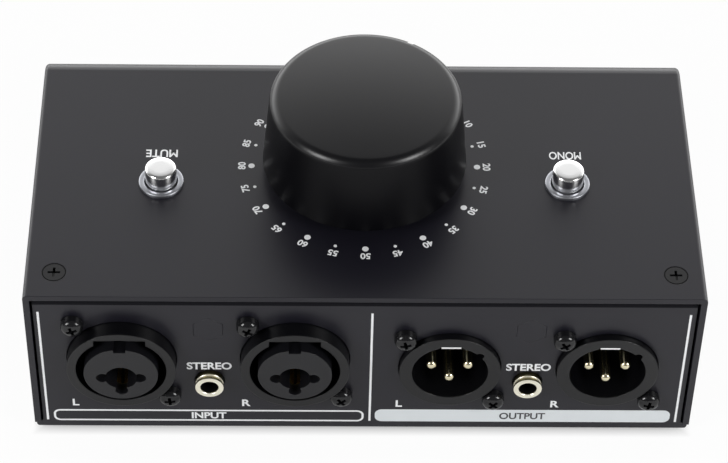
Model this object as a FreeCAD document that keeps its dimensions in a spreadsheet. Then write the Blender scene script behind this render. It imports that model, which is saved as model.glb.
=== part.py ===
"""Passive studio monitor controller: a folded sheet case with one large volume dial, two push
buttons, two combination inputs, two three-pin outputs and two stereo mini jacks.

Millimetres, +Z up. The origin is the middle of the object's footprint, on the surface it stands on.
The rear panel with the connectors faces +Y, and the user sits on the -Y side.
"""
import FreeCAD, Part
import math
import os

import Sketcher

doc = FreeCAD.newDocument("monitor_controller")
sheet = doc.addObject("Spreadsheet::Sheet", "sheet")

# Driving dimensions, in millimetres and degrees
DIMENSIONS = {
    # Case
    "case_width": 147.2,
    "case_depth": 75.5,
    "case_height": 43.7,
    "cover_sheet": 1.4,
    "base_sheet": 1.5,
    "front_bend": 5.0,
    "side_bend": 1.0,
    "base_bend": 2.0,
    "panel_setback": 0.7,
    "side_gap": 0.45,
    "wall_clearance": 0.1,
    "flange_depth": 13.0,
    "foot_height": 2.0,
    "foot_radius": 5.0,
    "foot_inset": 11.0,
    # Screws that close the case
    "cover_screw_across": 67.2,
    "cover_screw_inset": 7.1,
    "screw_radius": 1.45,
    "screw_head_radius": 2.55,
    "screw_length": 7.0,
    "screw_recess_depth": 0.9,
    "screw_recess_arm": 1.35,
    "thread_clearance": 0.05,
    "nut_radius": 2.75,
    "nut_height": 2.0,
    "tab_across": 50.0,
    "tab_width": 14.0,
    "tab_depth": 10.0,
    "tab_screw_inset": 6.0,
    # Volume dial and its potentiometer
    "dial_inset": 39.65,
    "knob_base_radius": 22.7,
    "knob_top_radius": 21.0,
    "knob_height": 19.3,
    "knob_gap": 2.8,
    "hub_gap": 0.6,
    "knob_edge": 2.2,
    "knob_wall": 2.2,
    "knob_hub_radius": 5.2,
    "knob_rib_width": 1.2,
    "knob_rib_count": 6,
    "knob_rib_height": 9.0,
    "knob_rib_overlap": 0.5,
    "bore_end_wall": 1.0,
    "pointer_width": 1.3,
    "pointer_inner_radius": 20.6,
    "pointer_start": 5.5,
    "pointer_bearing": 210.0,
    "shaft_radius": 3.0,
    "shaft_flat": 1.5,
    "shaft_running_gap": 0.05,
    "bushing_radius": 3.5,
    "bushing_height": 4.3,
    "bushing_hole_gap": 0.1,
    "washer_radius": 6.3,
    "washer_height": 0.5,
    "dial_nut_across": 10.0,
    "dial_nut_height": 2.0,
    "pot_radius": 8.5,
    "pot_wall": 1.2,
    "pot_plate": 1.1,
    "pot_height": 16.3,
    "wafer_height": 1.3,
    "rotor_height": 2.0,
    "rotor_gap": 0.6,
    "terminal_spacing": 4.0,
    "terminal_width": 0.8,
    "terminal_sheet": 0.5,
    "terminal_first_reach": 3.0,
    "terminal_second_reach": 6.0,
    "terminal_entry": 2.0,
    "terminal_rise": 0.4,
    "tail_below_board": 1.0,
    "terminal_hole_radius": 0.6,
    # Push buttons
    "button_across": 45.2,
    "button_inset": 34.3,
    "button_radius": 3.5,
    "button_reach": 4.87,
    "button_height": 8.4,
    "button_travel": 2.0,
    "bezel_radius": 5.0,
    "bezel_bore": 3.9,
    "bezel_sleeve": 4.3,
    "bezel_height": 0.8,
    "bezel_depth": 2.4,
    "plunger_width": 3.2,
    "plunger_socket": 4.0,
    "plunger_gap": 0.3,
    "plunger_in_switch": 6.0,
    "button_edge": 0.3,
    "switch_width": 8.0,
    "switch_height": 10.5,
    "switch_leg_width": 0.5,
    "switch_leg_across": 3.0,
    "switch_leg_step": 2.0,
    "spring_wire": 0.4,
    "spring_radius": 2.9,
    # Boards
    "board_sheet": 1.6,
    "control_board_width": 112.0,
    "control_board_front": 22.0,
    "control_board_rear": 6.4,
    "io_board_behind": 16.0,
    "io_board_width": 139.0,
    "io_board_bottom": 6.5,
    "io_board_top": 41.5,
    "header_across": 24.0,
    "header_width": 16.0,
    "header_height": 4.0,
    "header_thickness": 5.0,
    "ribbon_width": 14.0,
    "ribbon_sheet": 0.8,
    "ribbon_bend": 3.0,
    "ribbon_run": 7.0,
    "header_below_edge": 8.0,
    "resistor_length": 3.2,
    "resistor_width": 1.6,
    "resistor_height": 0.6,
    "resistor_spacing": 5.0,
    "resistor_row": 4.0,
    # Combination inputs
    "combo_first": 53.2,
    "combo_second": 15.2,
    "combo_drop": 20.9,
    "combo_ring_radius": 11.9,
    "combo_bore_radius": 10.25,
    "combo_reach": 3.6,
    "combo_insert_radius": 8.1,
    "combo_insert_proud": 1.1,
    "combo_contact_drop": 1.2,
    "combo_lip_radius": 9.9,
    "combo_lip_depth": 1.0,
    "combo_slot_width": 11.2,
    "combo_slot_rise": 9.75,
    "combo_slot_depth": 6.0,
    "insert_flange_sheet": 2.0,
    "insert_flange_gap": 0.05,
    "insert_notch_width": 2.7,
    "insert_notch_drop": 0.95,
    "insert_notch_depth": 4.0,
    "combo_flange_width": 25.4,
    "combo_flange_height": 29.2,
    "combo_screw_across": 10.25,
    "combo_screw_up": 11.65,
    "plug_bore_radius": 3.25,
    "plug_mouth_radius": 3.5,
    "contact_spacing": 4.075,
    "contact_hole_radius": 1.4,
    "contact_hole_depth": 13.0,
    "contact_wall": 0.15,
    "contact_recess": 3.0,
    "contact_mouth_gap": 0.1,
    "plug_depth": 30.5,
    "tail_width": 12.0,
    "tail_end_wall": 1.2,
    # Three-pin outputs
    "output_first": 18.9,
    "output_second": 53.65,
    "output_drop": 23.4,
    "output_ring_radius": 11.15,
    "output_cup_radius": 8.4,
    "output_reach": 1.6,
    "output_cup_depth": 14.5,
    "output_barrel_step": 0.8,
    "keyway_radius": 0.95,
    "keyway_bearing": 139.3,
    "spring_seat_width": 5.1,
    "ground_spring_width": 4.3,
    "ground_spring_sheet": 0.35,
    "ground_spring_length": 9.0,
    "ground_spring_recess": 0.3,
    "output_flange_width": 24.4,
    "output_flange_height": 24.8,
    "output_screw_offset": 10.0,
    "pin_radius": 1.2,
    "pin_stem_radius": 1.5,
    "pin_rise": 0.4,
    "pin_recess": 2.1,
    "pin_tail": 1.2,
    # Stereo mini jacks
    "jack_first": 34.1,
    "jack_second": 36.3,
    "jack_drop": 28.2,
    "jack_ring_radius": 3.15,
    "jack_bore_radius": 1.8,
    "jack_reach": 2.24,
    "jack_depth": 14.0,
    "jack_body_width": 9.5,
    "jack_body_height": 12.0,
    "jack_groove": 0.5,
    # Board standoffs and connector screws
    "standoff_drop": 11.3,
    "standoff_across": 6.35,
    "standoff_head": 1.0,
    "standoff_proud": 0.1,
    "standoff_radius": 2.1,
    "standoff_thread": 8.0,
    "connector_screw_radius": 1.3,
    "connector_head_radius": 2.35,
    "connector_head_height": 1.7,
    "connector_dome_radius": 3.3,
    "connector_recess_depth": 1.1,
    "connector_recess_arm": 1.4,
    "connector_screw_length": 6.0,
    "panel_hole_gap": 0.2,
    "flange_thickness": 3.2,
    "seat_gap": 0.1,
}
for row, (alias, value) in enumerate(DIMENSIONS.items(), start=1):
    sheet.set(f"A{row}", alias)
    sheet.set(f"B{row}", str(value))
    sheet.setAlias(f"B{row}", alias)
doc.recompute()


def size(text):
    """The value of an expression on the sheet, in millimetres."""
    return float(sheet.evalExpression(text))


def sheet_value(alias):
    return float(sheet.get(alias))


# Levels and planes that many pieces share, as expressions on the sheet
REAR_EDGE = "((sheet.case_depth - sheet.combo_reach - sheet.combo_insert_proud + sheet.panel_setback) / 2)"
FRONT_FACE = f"({REAR_EDGE} - sheet.case_depth)"
PANEL_FACE = f"({REAR_EDGE} - sheet.panel_setback)"
PANEL_BACK = f"({PANEL_FACE} - sheet.base_sheet)"
BOARD_FACE = f"({PANEL_BACK} - sheet.io_board_behind)"
BOARD_BACK = f"({BOARD_FACE} - sheet.board_sheet)"
COVER_TOP = "(sheet.foot_height + sheet.case_height)"
COVER_UNDER = f"({COVER_TOP} - sheet.cover_sheet)"
FLOOR_TOP = "(sheet.foot_height + sheet.base_sheet)"
DIAL_Y = f"({REAR_EDGE} - sheet.dial_inset)"
BUTTON_Y = f"({REAR_EDGE} - sheet.button_inset)"
CONTROL_TOP = f"({COVER_UNDER} - sheet.pot_height)"
SCREW_Y = f"({REAR_EDGE} - sheet.cover_screw_inset)"
HALF_WIDTH = "(sheet.case_width / 2)"
CHASSIS_WIDTH = "(sheet.case_width - 2 * sheet.cover_sheet - 2 * sheet.side_gap)"
KNOB_BOTTOM = f"({COVER_TOP} + sheet.knob_gap)"
KNOB_TOP = f"({KNOB_BOTTOM} + sheet.knob_height)"
BUTTON_TOP = f"({COVER_TOP} + sheet.button_reach)"
BUTTON_UNDER = f"({BUTTON_TOP} - sheet.button_height)"
SWITCH_TOP = f"({CONTROL_TOP} + sheet.switch_height)"
COMBO_Z = f"({COVER_TOP} - sheet.combo_drop)"
PLUG_Z = f"({COMBO_Z} - sheet.combo_contact_drop)"
COMBO_FACE = f"({PANEL_FACE} + sheet.combo_reach)"
INSERT_FACE = f"({COMBO_FACE} + sheet.combo_insert_proud)"
OUTPUT_Z = f"({COVER_TOP} - sheet.output_drop)"
OUTPUT_FACE = f"({PANEL_FACE} + sheet.output_reach)"
JACK_Z = f"({COVER_TOP} - sheet.jack_drop)"
JACK_FACE = f"({PANEL_FACE} + sheet.jack_reach)"
STANDOFF_Z = f"({COVER_TOP} - sheet.standoff_drop)"

COMBO_PLACES = {"left": "sheet.combo_first", "right": "sheet.combo_second"}
OUTPUT_PLACES = {"left": "-sheet.output_first", "right": "-sheet.output_second"}
JACK_PLACES = {"input": "sheet.jack_first", "output": "-sheet.jack_second"}
BUTTON_PLACES = {"mute": "sheet.button_across", "mono": "-sheet.button_across"}

AXES = {
    "+X": FreeCAD.Rotation(FreeCAD.Vector(0, 1, 0), 90),
    "+Y": FreeCAD.Rotation(FreeCAD.Vector(1, 0, 0), -90),
    "-Y": FreeCAD.Rotation(FreeCAD.Vector(1, 0, 0), 90),
    "+Z": FreeCAD.Rotation(),
    "+Y, corner up": FreeCAD.Rotation(FreeCAD.Vector(1, 0, 0), -90).multiply(
        FreeCAD.Rotation(FreeCAD.Vector(0, 0, 1), 30)),
}
nodes = {}


def keep(piece, label):
    """Names a finished piece: its label is its file's name."""
    piece.Label = label
    nodes[label] = piece
    return piece


def bind(piece, expressions):
    for prop, text in expressions.items():
        piece.setExpression(prop, text)
    return piece


def place(piece, corner, axis="+Z"):
    """Puts a primitive at a corner or centre given as three expressions, with its height along an axis."""
    piece.Placement = FreeCAD.Placement(FreeCAD.Vector(), AXES[axis])
    for prop, text in zip(("x", "y", "z"), corner):
        piece.setExpression(f"Placement.Base.{prop}", text)
    return piece


def box(name, extent, corner):
    piece = doc.addObject("Part::Box", name)
    bind(piece, dict(zip(("Length", "Width", "Height"), extent)))
    return place(piece, corner)


def cylinder(name, radius, height, centre, axis="+Z"):
    piece = doc.addObject("Part::Cylinder", name)
    bind(piece, {"Radius": radius, "Height": height})
    return place(piece, centre, axis)


def cone(name, bottom, top, height, centre, axis="+Z"):
    piece = doc.addObject("Part::Cone", name)
    bind(piece, {"Radius1": bottom, "Radius2": top, "Height": height})
    return place(piece, centre, axis)


def prism(name, across, height, centre, axis="+Z"):
    """A hexagonal bar of a given width across its flats."""
    piece = doc.addObject("Part::Prism", name)
    piece.Polygon = 6
    bind(piece, {"Circumradius": f"{across} / sqrt(3)", "Height": height})
    return place(piece, centre, axis)


def fuse(name, pieces):
    joined = doc.addObject("Part::MultiFuse", name)
    joined.Shapes = pieces
    joined.Refine = True
    return joined


def cut(name, base, tool):
    left = doc.addObject("Part::Cut", name)
    left.Base = base
    left.Tool = tool
    left.Refine = True
    return left


def common(name, first, second):
    """What two pieces share."""
    shared = doc.addObject("Part::MultiCommon", name)
    shared.Shapes = [first, second]
    return shared


def group(name, pieces):
    """Separate solids that share one node."""
    together = doc.addObject("Part::Compound", name)
    together.Links = pieces
    return together


def new_body(name):
    return doc.addObject("PartDesign::Body", name)


def new_sketch(body, name, plane, offset=None):
    """A sketch on one of the body's own origin planes, moved along that plane's normal."""
    sketch = body.newObject("Sketcher::SketchObject", name)
    support = [feature for feature in body.Origin.OriginFeatures if feature.Role == plane][0]
    sketch.AttachmentSupport = [(support, "")]
    sketch.MapMode = "FlatFace"
    if offset:
        sketch.setExpression("AttachmentOffset.Base.z", offset)
    return sketch


def fix_point(sketch, geometry, point, across, up):
    """Ties one point of a sketch to the sheet, by its two distances from the sketch's origin."""
    for kind, axis, text in (("DistanceX", -2, across), ("DistanceY", -1, up)):
        value = size(text)
        if abs(value) < 1e-9:
            sketch.addConstraint(Sketcher.Constraint("PointOnObject", geometry, point, axis))
            continue
        index = sketch.addConstraint(Sketcher.Constraint(kind, -1, 1, geometry, point, value))
        sketch.setExpression(f"Constraints[{index}]", text)


def unit_step(start, end):
    """The direction of a straight side that runs along one of the sketch's axes."""
    run = end - start
    return round(run.x / run.Length), round(run.y / run.Length)


def draw_outline(sketch, corners):
    """A closed outline through corners that are pairs of expressions.

    A corner with a third expression is rounded to that radius, and its two sides must be square.
    """
    sharp = [FreeCAD.Vector(size(corner[0]), size(corner[1]), 0) for corner in corners]
    count = len(corners)
    sides = []
    arcs = []
    starts = []
    ends = []
    for index, corner in enumerate(corners):
        if len(corner) == 2:
            starts.append(corner)
            ends.append(corner)
            continue
        across, up, radius = corner
        back_x, back_y = unit_step(sharp[index], sharp[index - 1])
        on_x, on_y = unit_step(sharp[index], sharp[(index + 1) % count])
        ends.append((f"{across} + ({back_x}) * ({radius})", f"{up} + ({back_y}) * ({radius})"))
        starts.append((f"{across} + ({on_x}) * ({radius})", f"{up} + ({on_y}) * ({radius})"))
    for index in range(count):
        first = starts[index]
        last = ends[(index + 1) % count]
        points = [FreeCAD.Vector(size(end[0]), size(end[1]), 0) for end in (first, last)]
        sides.append(sketch.addGeometry(Part.LineSegment(*points), False))
        fix_point(sketch, sides[-1], 1, *first)
        if len(corners[(index + 1) % count]) == 3:
            fix_point(sketch, sides[-1], 2, *last)
    for index, corner in enumerate(corners):
        before = sides[index - 1]
        after = sides[index]
        if len(corner) == 2:
            sketch.addConstraint(Sketcher.Constraint("Coincident", before, 2, after, 1))
            continue
        arcs.append(draw_corner_arc(sketch, sharp, index, corner[2], before, after))


def draw_corner_arc(sketch, sharp, index, radius, before, after):
    """The arc that rounds one square corner, tied to the ends of the two sides that it joins."""
    reach = size(radius)
    back = unit_step(sharp[index], sharp[index - 1])
    onward = unit_step(sharp[index], sharp[(index + 1) % len(sharp)])
    centre = sharp[index] + FreeCAD.Vector(back[0] + onward[0], back[1] + onward[1], 0) * reach
    turns_left = -back[0] * onward[1] + back[1] * onward[0] > 0
    from_side, to_side = (onward, back) if turns_left else (back, onward)
    start_turn = math.atan2(-from_side[1], -from_side[0])
    circle = Part.Circle(centre, FreeCAD.Vector(0, 0, 1), reach)
    arc = sketch.addGeometry(Part.ArcOfCircle(circle, start_turn, start_turn + math.pi / 2), False)
    into, out_of = (1, 2) if turns_left else (2, 1)
    sketch.addConstraint(Sketcher.Constraint("Coincident", before, 2, arc, into))
    sketch.addConstraint(Sketcher.Constraint("Coincident", arc, out_of, after, 1))
    bound = sketch.addConstraint(Sketcher.Constraint("Radius", arc, reach))
    sketch.setExpression(f"Constraints[{bound}]", radius)
    return arc


def draw_rectangle(sketch, left, right, bottom, top):
    draw_outline(sketch, [(left, bottom), (right, bottom), (right, top), (left, top)])


def draw_circle(sketch, across, up, radius):
    centre = FreeCAD.Vector(size(across), size(up), 0)
    index = sketch.addGeometry(Part.Circle(centre, FreeCAD.Vector(0, 0, 1), size(radius)), False)
    fix_point(sketch, index, 3, across, up)
    bound = sketch.addConstraint(Sketcher.Constraint("Radius", index, size(radius)))
    sketch.setExpression(f"Constraints[{bound}]", radius)


def pad(body, name, sketch, length, midplane=False, reverse=False):
    feature = body.newObject("PartDesign::Pad", name)
    feature.Profile = sketch
    feature.Midplane = midplane
    feature.Reversed = reverse
    feature.setExpression("Length", length)
    doc.recompute()
    return feature


def pocket(body, name, sketch, length, midplane=False, reverse=False):
    """Cuts a sketch into the body, and makes sure that it took something away."""
    before = body.Shape.Volume
    feature = body.newObject("PartDesign::Pocket", name)
    feature.Profile = sketch
    feature.Midplane = midplane
    feature.Reversed = reverse
    feature.setExpression("Length", length)
    doc.recompute()
    if body.Shape.Volume >= before - 1e-6:
        raise RuntimeError(f"{name} cut nothing")
    return feature


def round_edges(body, name, radius, chosen):
    """Rounds the edges of the body's last shape that a test picks."""
    base = body.Tip
    names = [f"Edge{index}" for index, edge in enumerate(base.Shape.Edges, start=1) if chosen(edge)]
    if not names:
        raise RuntimeError(f"{name} found no edge")
    feature = body.newObject("PartDesign::Fillet", name)
    feature.Base = (base, names)
    feature.setExpression("Radius", radius)
    doc.recompute()
    return feature


def near(first, second):
    return abs(first - second) < 1e-4


def cross_recess(name, centre, depth, arm, axis="+Z"):
    """The cross that a driver turns: two crossed slots, sunk into a screw head at its outer face."""
    width = f"{arm} * 0.42"
    outward = {"+Z": (0, 0, 1), "-Z": (0, 0, -1), "+Y": (0, 1, 0), "-Y": (0, -1, 0)}[axis]
    slots = []
    for slot_name, long_side in (("a", 0), ("b", 1)):
        across = [width, width]
        across[long_side] = f"2 * {arm}"
        flat = [0, 1] if axis.endswith("Z") else [0, 2]
        normal = 3 - sum(flat)
        extent = [None, None, None]
        corner = [None, None, None]
        for index, direction in enumerate(flat):
            extent[direction] = across[index]
            corner[direction] = f"{centre[direction]} - ({across[index]}) / 2"
        extent[normal] = depth
        corner[normal] = f"{centre[normal]} - {depth}" if outward[normal] > 0 else centre[normal]
        slots.append(box(f"{name}_{slot_name}", extent, corner))
    return fuse(name, slots)


# Cover: top, front wall and side walls folded from one sheet, with two tabs under the front wall
cover = new_body("top_cover_body")
cover_side = new_sketch(cover, "cover_side", "YZ_Plane")
WALL_BOTTOM = f"({FLOOR_TOP} + sheet.wall_clearance)"
draw_outline(cover_side, [(FRONT_FACE, WALL_BOTTOM), (REAR_EDGE, WALL_BOTTOM), (REAR_EDGE, COVER_TOP),
                          (FRONT_FACE, COVER_TOP, "sheet.front_bend")])
pad(cover, "cover_block", cover_side, "sheet.case_width", midplane=True)


def cover_side_edges(edge):
    """The edges where the top and the front wall turn into the side walls."""
    half = size(HALF_WIDTH)
    middle = edge.valueAt((edge.FirstParameter + edge.LastParameter) / 2)
    on_side = all(near(abs(vertex.Point.x), half) for vertex in edge.Vertexes) and near(abs(middle.x), half)
    above = middle.z > size(WALL_BOTTOM) + 1e-3
    return on_side and above and middle.y < size(REAR_EDGE) - 1e-3


round_edges(cover, "cover_side_bends", "sheet.side_bend", cover_side_edges)
cover_inside = new_sketch(cover, "cover_inside", "YZ_Plane")
WALL_INSIDE = f"({FRONT_FACE} + sheet.cover_sheet)"
draw_outline(cover_inside, [(WALL_INSIDE, f"{WALL_BOTTOM} - 1"), (f"{REAR_EDGE} + 1", f"{WALL_BOTTOM} - 1"),
                            (f"{REAR_EDGE} + 1", COVER_UNDER),
                            (WALL_INSIDE, COVER_UNDER, "sheet.front_bend - sheet.cover_sheet")])
pocket(cover, "cover_hollow", cover_inside, "sheet.case_width - 2 * sheet.cover_sheet", midplane=True)
cover_holes = new_sketch(cover, "cover_holes", "XY_Plane", COVER_TOP)
draw_circle(cover_holes, "0 * sheet.dial_inset", DIAL_Y, "sheet.bushing_radius + sheet.bushing_hole_gap")
for place_x in BUTTON_PLACES.values():
    draw_circle(cover_holes, place_x, BUTTON_Y, "sheet.bezel_sleeve")
pocket(cover, "cover_control_holes", cover_holes, "sheet.cover_sheet")
for side in (-1, 1):
    countersink = cover.newObject("PartDesign::SubtractiveCone", f"countersink_{side + 1}")
    bind(countersink, {"Radius1": "sheet.screw_head_radius + sheet.seat_gap",
                       "Radius2": "sheet.screw_radius + sheet.seat_gap",
                       "Height": "sheet.cover_sheet"})
    turned = FreeCAD.Rotation(FreeCAD.Vector(1, 0, 0), 180)
    support = [feature for feature in cover.Origin.OriginFeatures if feature.Role == "XY_Plane"][0]
    countersink.AttachmentSupport = [(support, "")]
    countersink.MapMode = "FlatFace"
    countersink.AttachmentOffset = FreeCAD.Placement(FreeCAD.Vector(), turned)
    bind(countersink, {"AttachmentOffset.Base.x": f"{side} * sheet.cover_screw_across",
                       "AttachmentOffset.Base.y": SCREW_Y,
                       "AttachmentOffset.Base.z": COVER_TOP})
    doc.recompute()
tabs = new_sketch(cover, "cover_tabs", "XY_Plane", FLOOR_TOP)
for side in (-1, 1):
    middle = f"({side} * sheet.tab_across)"
    draw_rectangle(tabs, f"{middle} - sheet.tab_width / 2", f"{middle} + sheet.tab_width / 2",
                   FRONT_FACE, f"{FRONT_FACE} + sheet.tab_depth")
pad(cover, "cover_tab_sheets", tabs, "sheet.cover_sheet")
tab_holes = new_sketch(cover, "cover_tab_holes", "XY_Plane", f"{FLOOR_TOP} + sheet.cover_sheet")
TAB_SCREW_Y = f"({FRONT_FACE} + sheet.tab_screw_inset)"
for side in (-1, 1):
    draw_circle(tab_holes, f"{side} * sheet.tab_across", TAB_SCREW_Y, "sheet.screw_radius + sheet.seat_gap")
pocket(cover, "cover_tab_screw_holes", tab_holes, "sheet.cover_sheet")
keep(cover, "top_cover")

# Base: floor, rear panel and top flange folded from one sheet
base = new_body("base_chassis_body")
base_side = new_sketch(base, "base_side", "YZ_Plane")
BASE_FRONT = f"({FRONT_FACE} + sheet.cover_sheet + sheet.side_gap)"
FLANGE_END = f"({PANEL_FACE} - sheet.flange_depth)"
FLANGE_UNDER = f"({COVER_UNDER} - sheet.base_sheet)"
INNER_BEND = "sheet.base_bend - sheet.base_sheet"
draw_outline(base_side, [
    (BASE_FRONT, "sheet.foot_height"), (PANEL_FACE, "sheet.foot_height", "sheet.base_bend"),
    (PANEL_FACE, COVER_UNDER, "sheet.base_bend"), (FLANGE_END, COVER_UNDER), (FLANGE_END, FLANGE_UNDER),
    (PANEL_BACK, FLANGE_UNDER, INNER_BEND), (PANEL_BACK, FLOOR_TOP, INNER_BEND), (BASE_FRONT, FLOOR_TOP)])
pad(base, "base_fold", base_side, CHASSIS_WIDTH, midplane=True)

# A sketch on the XZ plane has its normal along -Y, so it is moved to the panel by minus its Y
panel_holes = new_sketch(base, "panel_holes", "XZ_Plane", f"-{PANEL_FACE}")
for place_x in COMBO_PLACES.values():
    draw_circle(panel_holes, place_x, COMBO_Z, "sheet.combo_ring_radius + sheet.panel_hole_gap")
    for side in (-1, 1):
        draw_circle(panel_holes, f"{place_x} - {side} * sheet.combo_screw_across",
                    f"{COMBO_Z} - {side} * sheet.combo_screw_up", "sheet.connector_screw_radius + sheet.seat_gap")
for place_x in OUTPUT_PLACES.values():
    draw_circle(panel_holes, place_x, OUTPUT_Z, "sheet.output_ring_radius + sheet.panel_hole_gap")
    for side in (-1, 1):
        draw_circle(panel_holes, f"{place_x} - {side} * sheet.output_screw_offset",
                    f"{OUTPUT_Z} - {side} * sheet.output_screw_offset",
                    "sheet.connector_screw_radius + sheet.seat_gap")
for place_x in JACK_PLACES.values():
    draw_circle(panel_holes, place_x, JACK_Z, "sheet.jack_ring_radius + sheet.panel_hole_gap")
    draw_circle(panel_holes, place_x, STANDOFF_Z, "sheet.standoff_radius + sheet.seat_gap")
pocket(base, "panel_connector_holes", panel_holes, "sheet.base_sheet", reverse=True)
hex_seats = new_sketch(base, "standoff_seats", "XZ_Plane", f"-{PANEL_FACE}")
for place_x in JACK_PLACES.values():
    corners = []
    for step in range(6):
        turn = math.radians(60 * step + 30)
        corners.append((f"{place_x} + sheet.standoff_across / sqrt(3) * {math.cos(turn):.9f}",
                        f"{STANDOFF_Z} + sheet.standoff_across / sqrt(3) * {math.sin(turn):.9f}"))
    draw_outline(hex_seats, corners)
pocket(base, "standoff_hex_seats", hex_seats, "sheet.standoff_head - sheet.standoff_proud", reverse=True)
flange_holes = new_sketch(base, "flange_holes", "XY_Plane", COVER_UNDER)
for side in (-1, 1):
    draw_circle(flange_holes, f"{side} * sheet.cover_screw_across", SCREW_Y,
                "sheet.screw_radius + sheet.seat_gap")
pocket(base, "flange_screw_holes", flange_holes, "sheet.base_sheet")
for side in (-1, 1):
    countersink = base.newObject("PartDesign::SubtractiveCone", f"floor_countersink_{side + 1}")
    bind(countersink, {"Radius1": "sheet.screw_head_radius + sheet.seat_gap",
                       "Radius2": "sheet.screw_radius + sheet.seat_gap",
                       "Height": "sheet.base_sheet"})
    support = [feature for feature in base.Origin.OriginFeatures if feature.Role == "XY_Plane"][0]
    countersink.AttachmentSupport = [(support, "")]
    countersink.MapMode = "FlatFace"
    bind(countersink, {"AttachmentOffset.Base.x": f"{side} * sheet.tab_across",
                       "AttachmentOffset.Base.y": TAB_SCREW_Y,
                       "AttachmentOffset.Base.z": "sheet.foot_height"})
    doc.recompute()
keep(base, "base_chassis")


def countersunk_screw(name, centre, face, points_down):
    """A screw with a flush conical head: its face and its direction are given."""
    head_drop = "(sheet.screw_head_radius - sheet.screw_radius)"
    if points_down:
        head = cone(f"{name}_head", "sheet.screw_radius", "sheet.screw_head_radius", head_drop,
                    (centre[0], centre[1], f"{face} - {head_drop}"))
        shank = cylinder(f"{name}_shank", "sheet.screw_radius", "sheet.screw_length",
                         (centre[0], centre[1], f"{face} - {head_drop} - sheet.screw_length"))
    else:
        head = cone(f"{name}_head", "sheet.screw_head_radius", "sheet.screw_radius", head_drop,
                    (centre[0], centre[1], face))
        shank = cylinder(f"{name}_shank", "sheet.screw_radius", "sheet.screw_length",
                         (centre[0], centre[1], f"{face} + {head_drop}"))
    recess = cross_recess(f"{name}_cross", (centre[0], centre[1], face), "sheet.screw_recess_depth", "sheet.screw_recess_arm",
                          "+Z" if points_down else "-Z")
    return cut(name, fuse(f"{name}_blank", [head, shank]), recess)


cover_screws = [countersunk_screw(f"cover_screw_{side + 1}", (f"{side} * sheet.cover_screw_across", SCREW_Y),
                                  COVER_TOP, True) for side in (-1, 1)]
keep(group("cover_screw_pair", cover_screws), "cover_screws")
base_screws = [countersunk_screw(f"base_screw_{side + 1}", (f"{side} * sheet.tab_across", TAB_SCREW_Y),
                                 "sheet.foot_height", False) for side in (-1, 1)]
keep(group("base_screw_pair", base_screws), "base_screws")


def clinch_nut(name, centre):
    """A round nut pressed on a sheet, with a bore for the screw."""
    outer = cylinder(f"{name}_outer", "sheet.nut_radius", "sheet.nut_height", centre)
    bore = cylinder(f"{name}_bore", "sheet.screw_radius + sheet.thread_clearance", "sheet.nut_height", centre)
    return cut(name, outer, bore)


flange_nuts = [clinch_nut(f"flange_nut_{side + 1}", (f"{side} * sheet.cover_screw_across", SCREW_Y,
                                                     f"{FLANGE_UNDER} - sheet.nut_height")) for side in (-1, 1)]
keep(group("flange_nut_pair", flange_nuts), "flange_nuts")
tab_nuts = [clinch_nut(f"tab_nut_{side + 1}", (f"{side} * sheet.tab_across", TAB_SCREW_Y,
                                               f"{FLOOR_TOP} + sheet.cover_sheet")) for side in (-1, 1)]
keep(group("tab_nut_pair", tab_nuts), "tab_nuts")

# Rubber feet, stuck under the floor, a little narrower at the bottom
feet = []
for side in (-1, 1):
    for end_y in (f"{PANEL_FACE} - sheet.foot_inset", f"{BASE_FRONT} + sheet.foot_inset"):
        foot = cone(f"foot_{len(feet)}", "sheet.foot_radius * 0.86", "sheet.foot_radius", "sheet.foot_height",
                    (f"{side} * ({HALF_WIDTH} - sheet.foot_inset)", end_y, "0"))
        feet.append(foot)
keep(group("foot_set", feet), "rubber_feet")

# Volume knob: a hollow turned cap with a hub, ribs and a pointer groove down its side
knob = new_body("volume_knob_body")
knob.setExpression("Placement.Base.y", DIAL_Y)
knob_profile = new_sketch(knob, "knob_profile", "XZ_Plane")
KNOB_FLOOR = f"({KNOB_TOP} - sheet.knob_wall)"
HUB_BOTTOM = f"({COVER_TOP} + sheet.bushing_height + sheet.hub_gap)"
draw_outline(knob_profile, [
    ("0", KNOB_TOP), ("0", HUB_BOTTOM), ("sheet.knob_hub_radius", HUB_BOTTOM),
    ("sheet.knob_hub_radius", KNOB_FLOOR), ("sheet.knob_top_radius - sheet.knob_wall", KNOB_FLOOR),
    ("sheet.knob_base_radius - sheet.knob_wall", KNOB_BOTTOM), ("sheet.knob_base_radius", KNOB_BOTTOM),
    ("sheet.knob_top_radius", KNOB_TOP)])
knob_turned = knob.newObject("PartDesign::Revolution", "knob_turned")
knob_turned.Profile = knob_profile
knob_turned.ReferenceAxis = (knob_profile, ["V_Axis"])
knob_turned.Angle = 360.0
doc.recompute()


def knob_rim(edge):
    middle = edge.valueAt(edge.FirstParameter)
    radius = math.hypot(middle.x, middle.y)
    return near(middle.z, size(KNOB_TOP)) and near(radius, sheet_value("knob_top_radius"))


round_edges(knob, "knob_rounded_rim", "sheet.knob_edge", knob_rim)
knob_bore = new_sketch(knob, "knob_bore", "XY_Plane", HUB_BOTTOM)
draw_circle(knob_bore, "0", "0", "sheet.shaft_radius")
SHAFT_LENGTH = f"({KNOB_FLOOR} - {HUB_BOTTOM} - sheet.bore_end_wall)"
pocket(knob, "knob_shaft_bore", knob_bore, SHAFT_LENGTH, reverse=True)
rib_sketch = new_sketch(knob, "knob_rib_plan", "XY_Plane", f"{KNOB_FLOOR}")
draw_rectangle(rib_sketch, "sheet.knob_hub_radius - sheet.knob_rib_overlap",
               "sheet.knob_top_radius - sheet.knob_wall + sheet.knob_rib_overlap",
               "-sheet.knob_rib_width / 2", "sheet.knob_rib_width / 2")
knob_rib = pad(knob, "knob_rib", rib_sketch, "sheet.knob_rib_height", reverse=True)
ribs = knob.newObject("PartDesign::PolarPattern", "knob_ribs")
ribs.Originals = [knob_rib]
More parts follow.
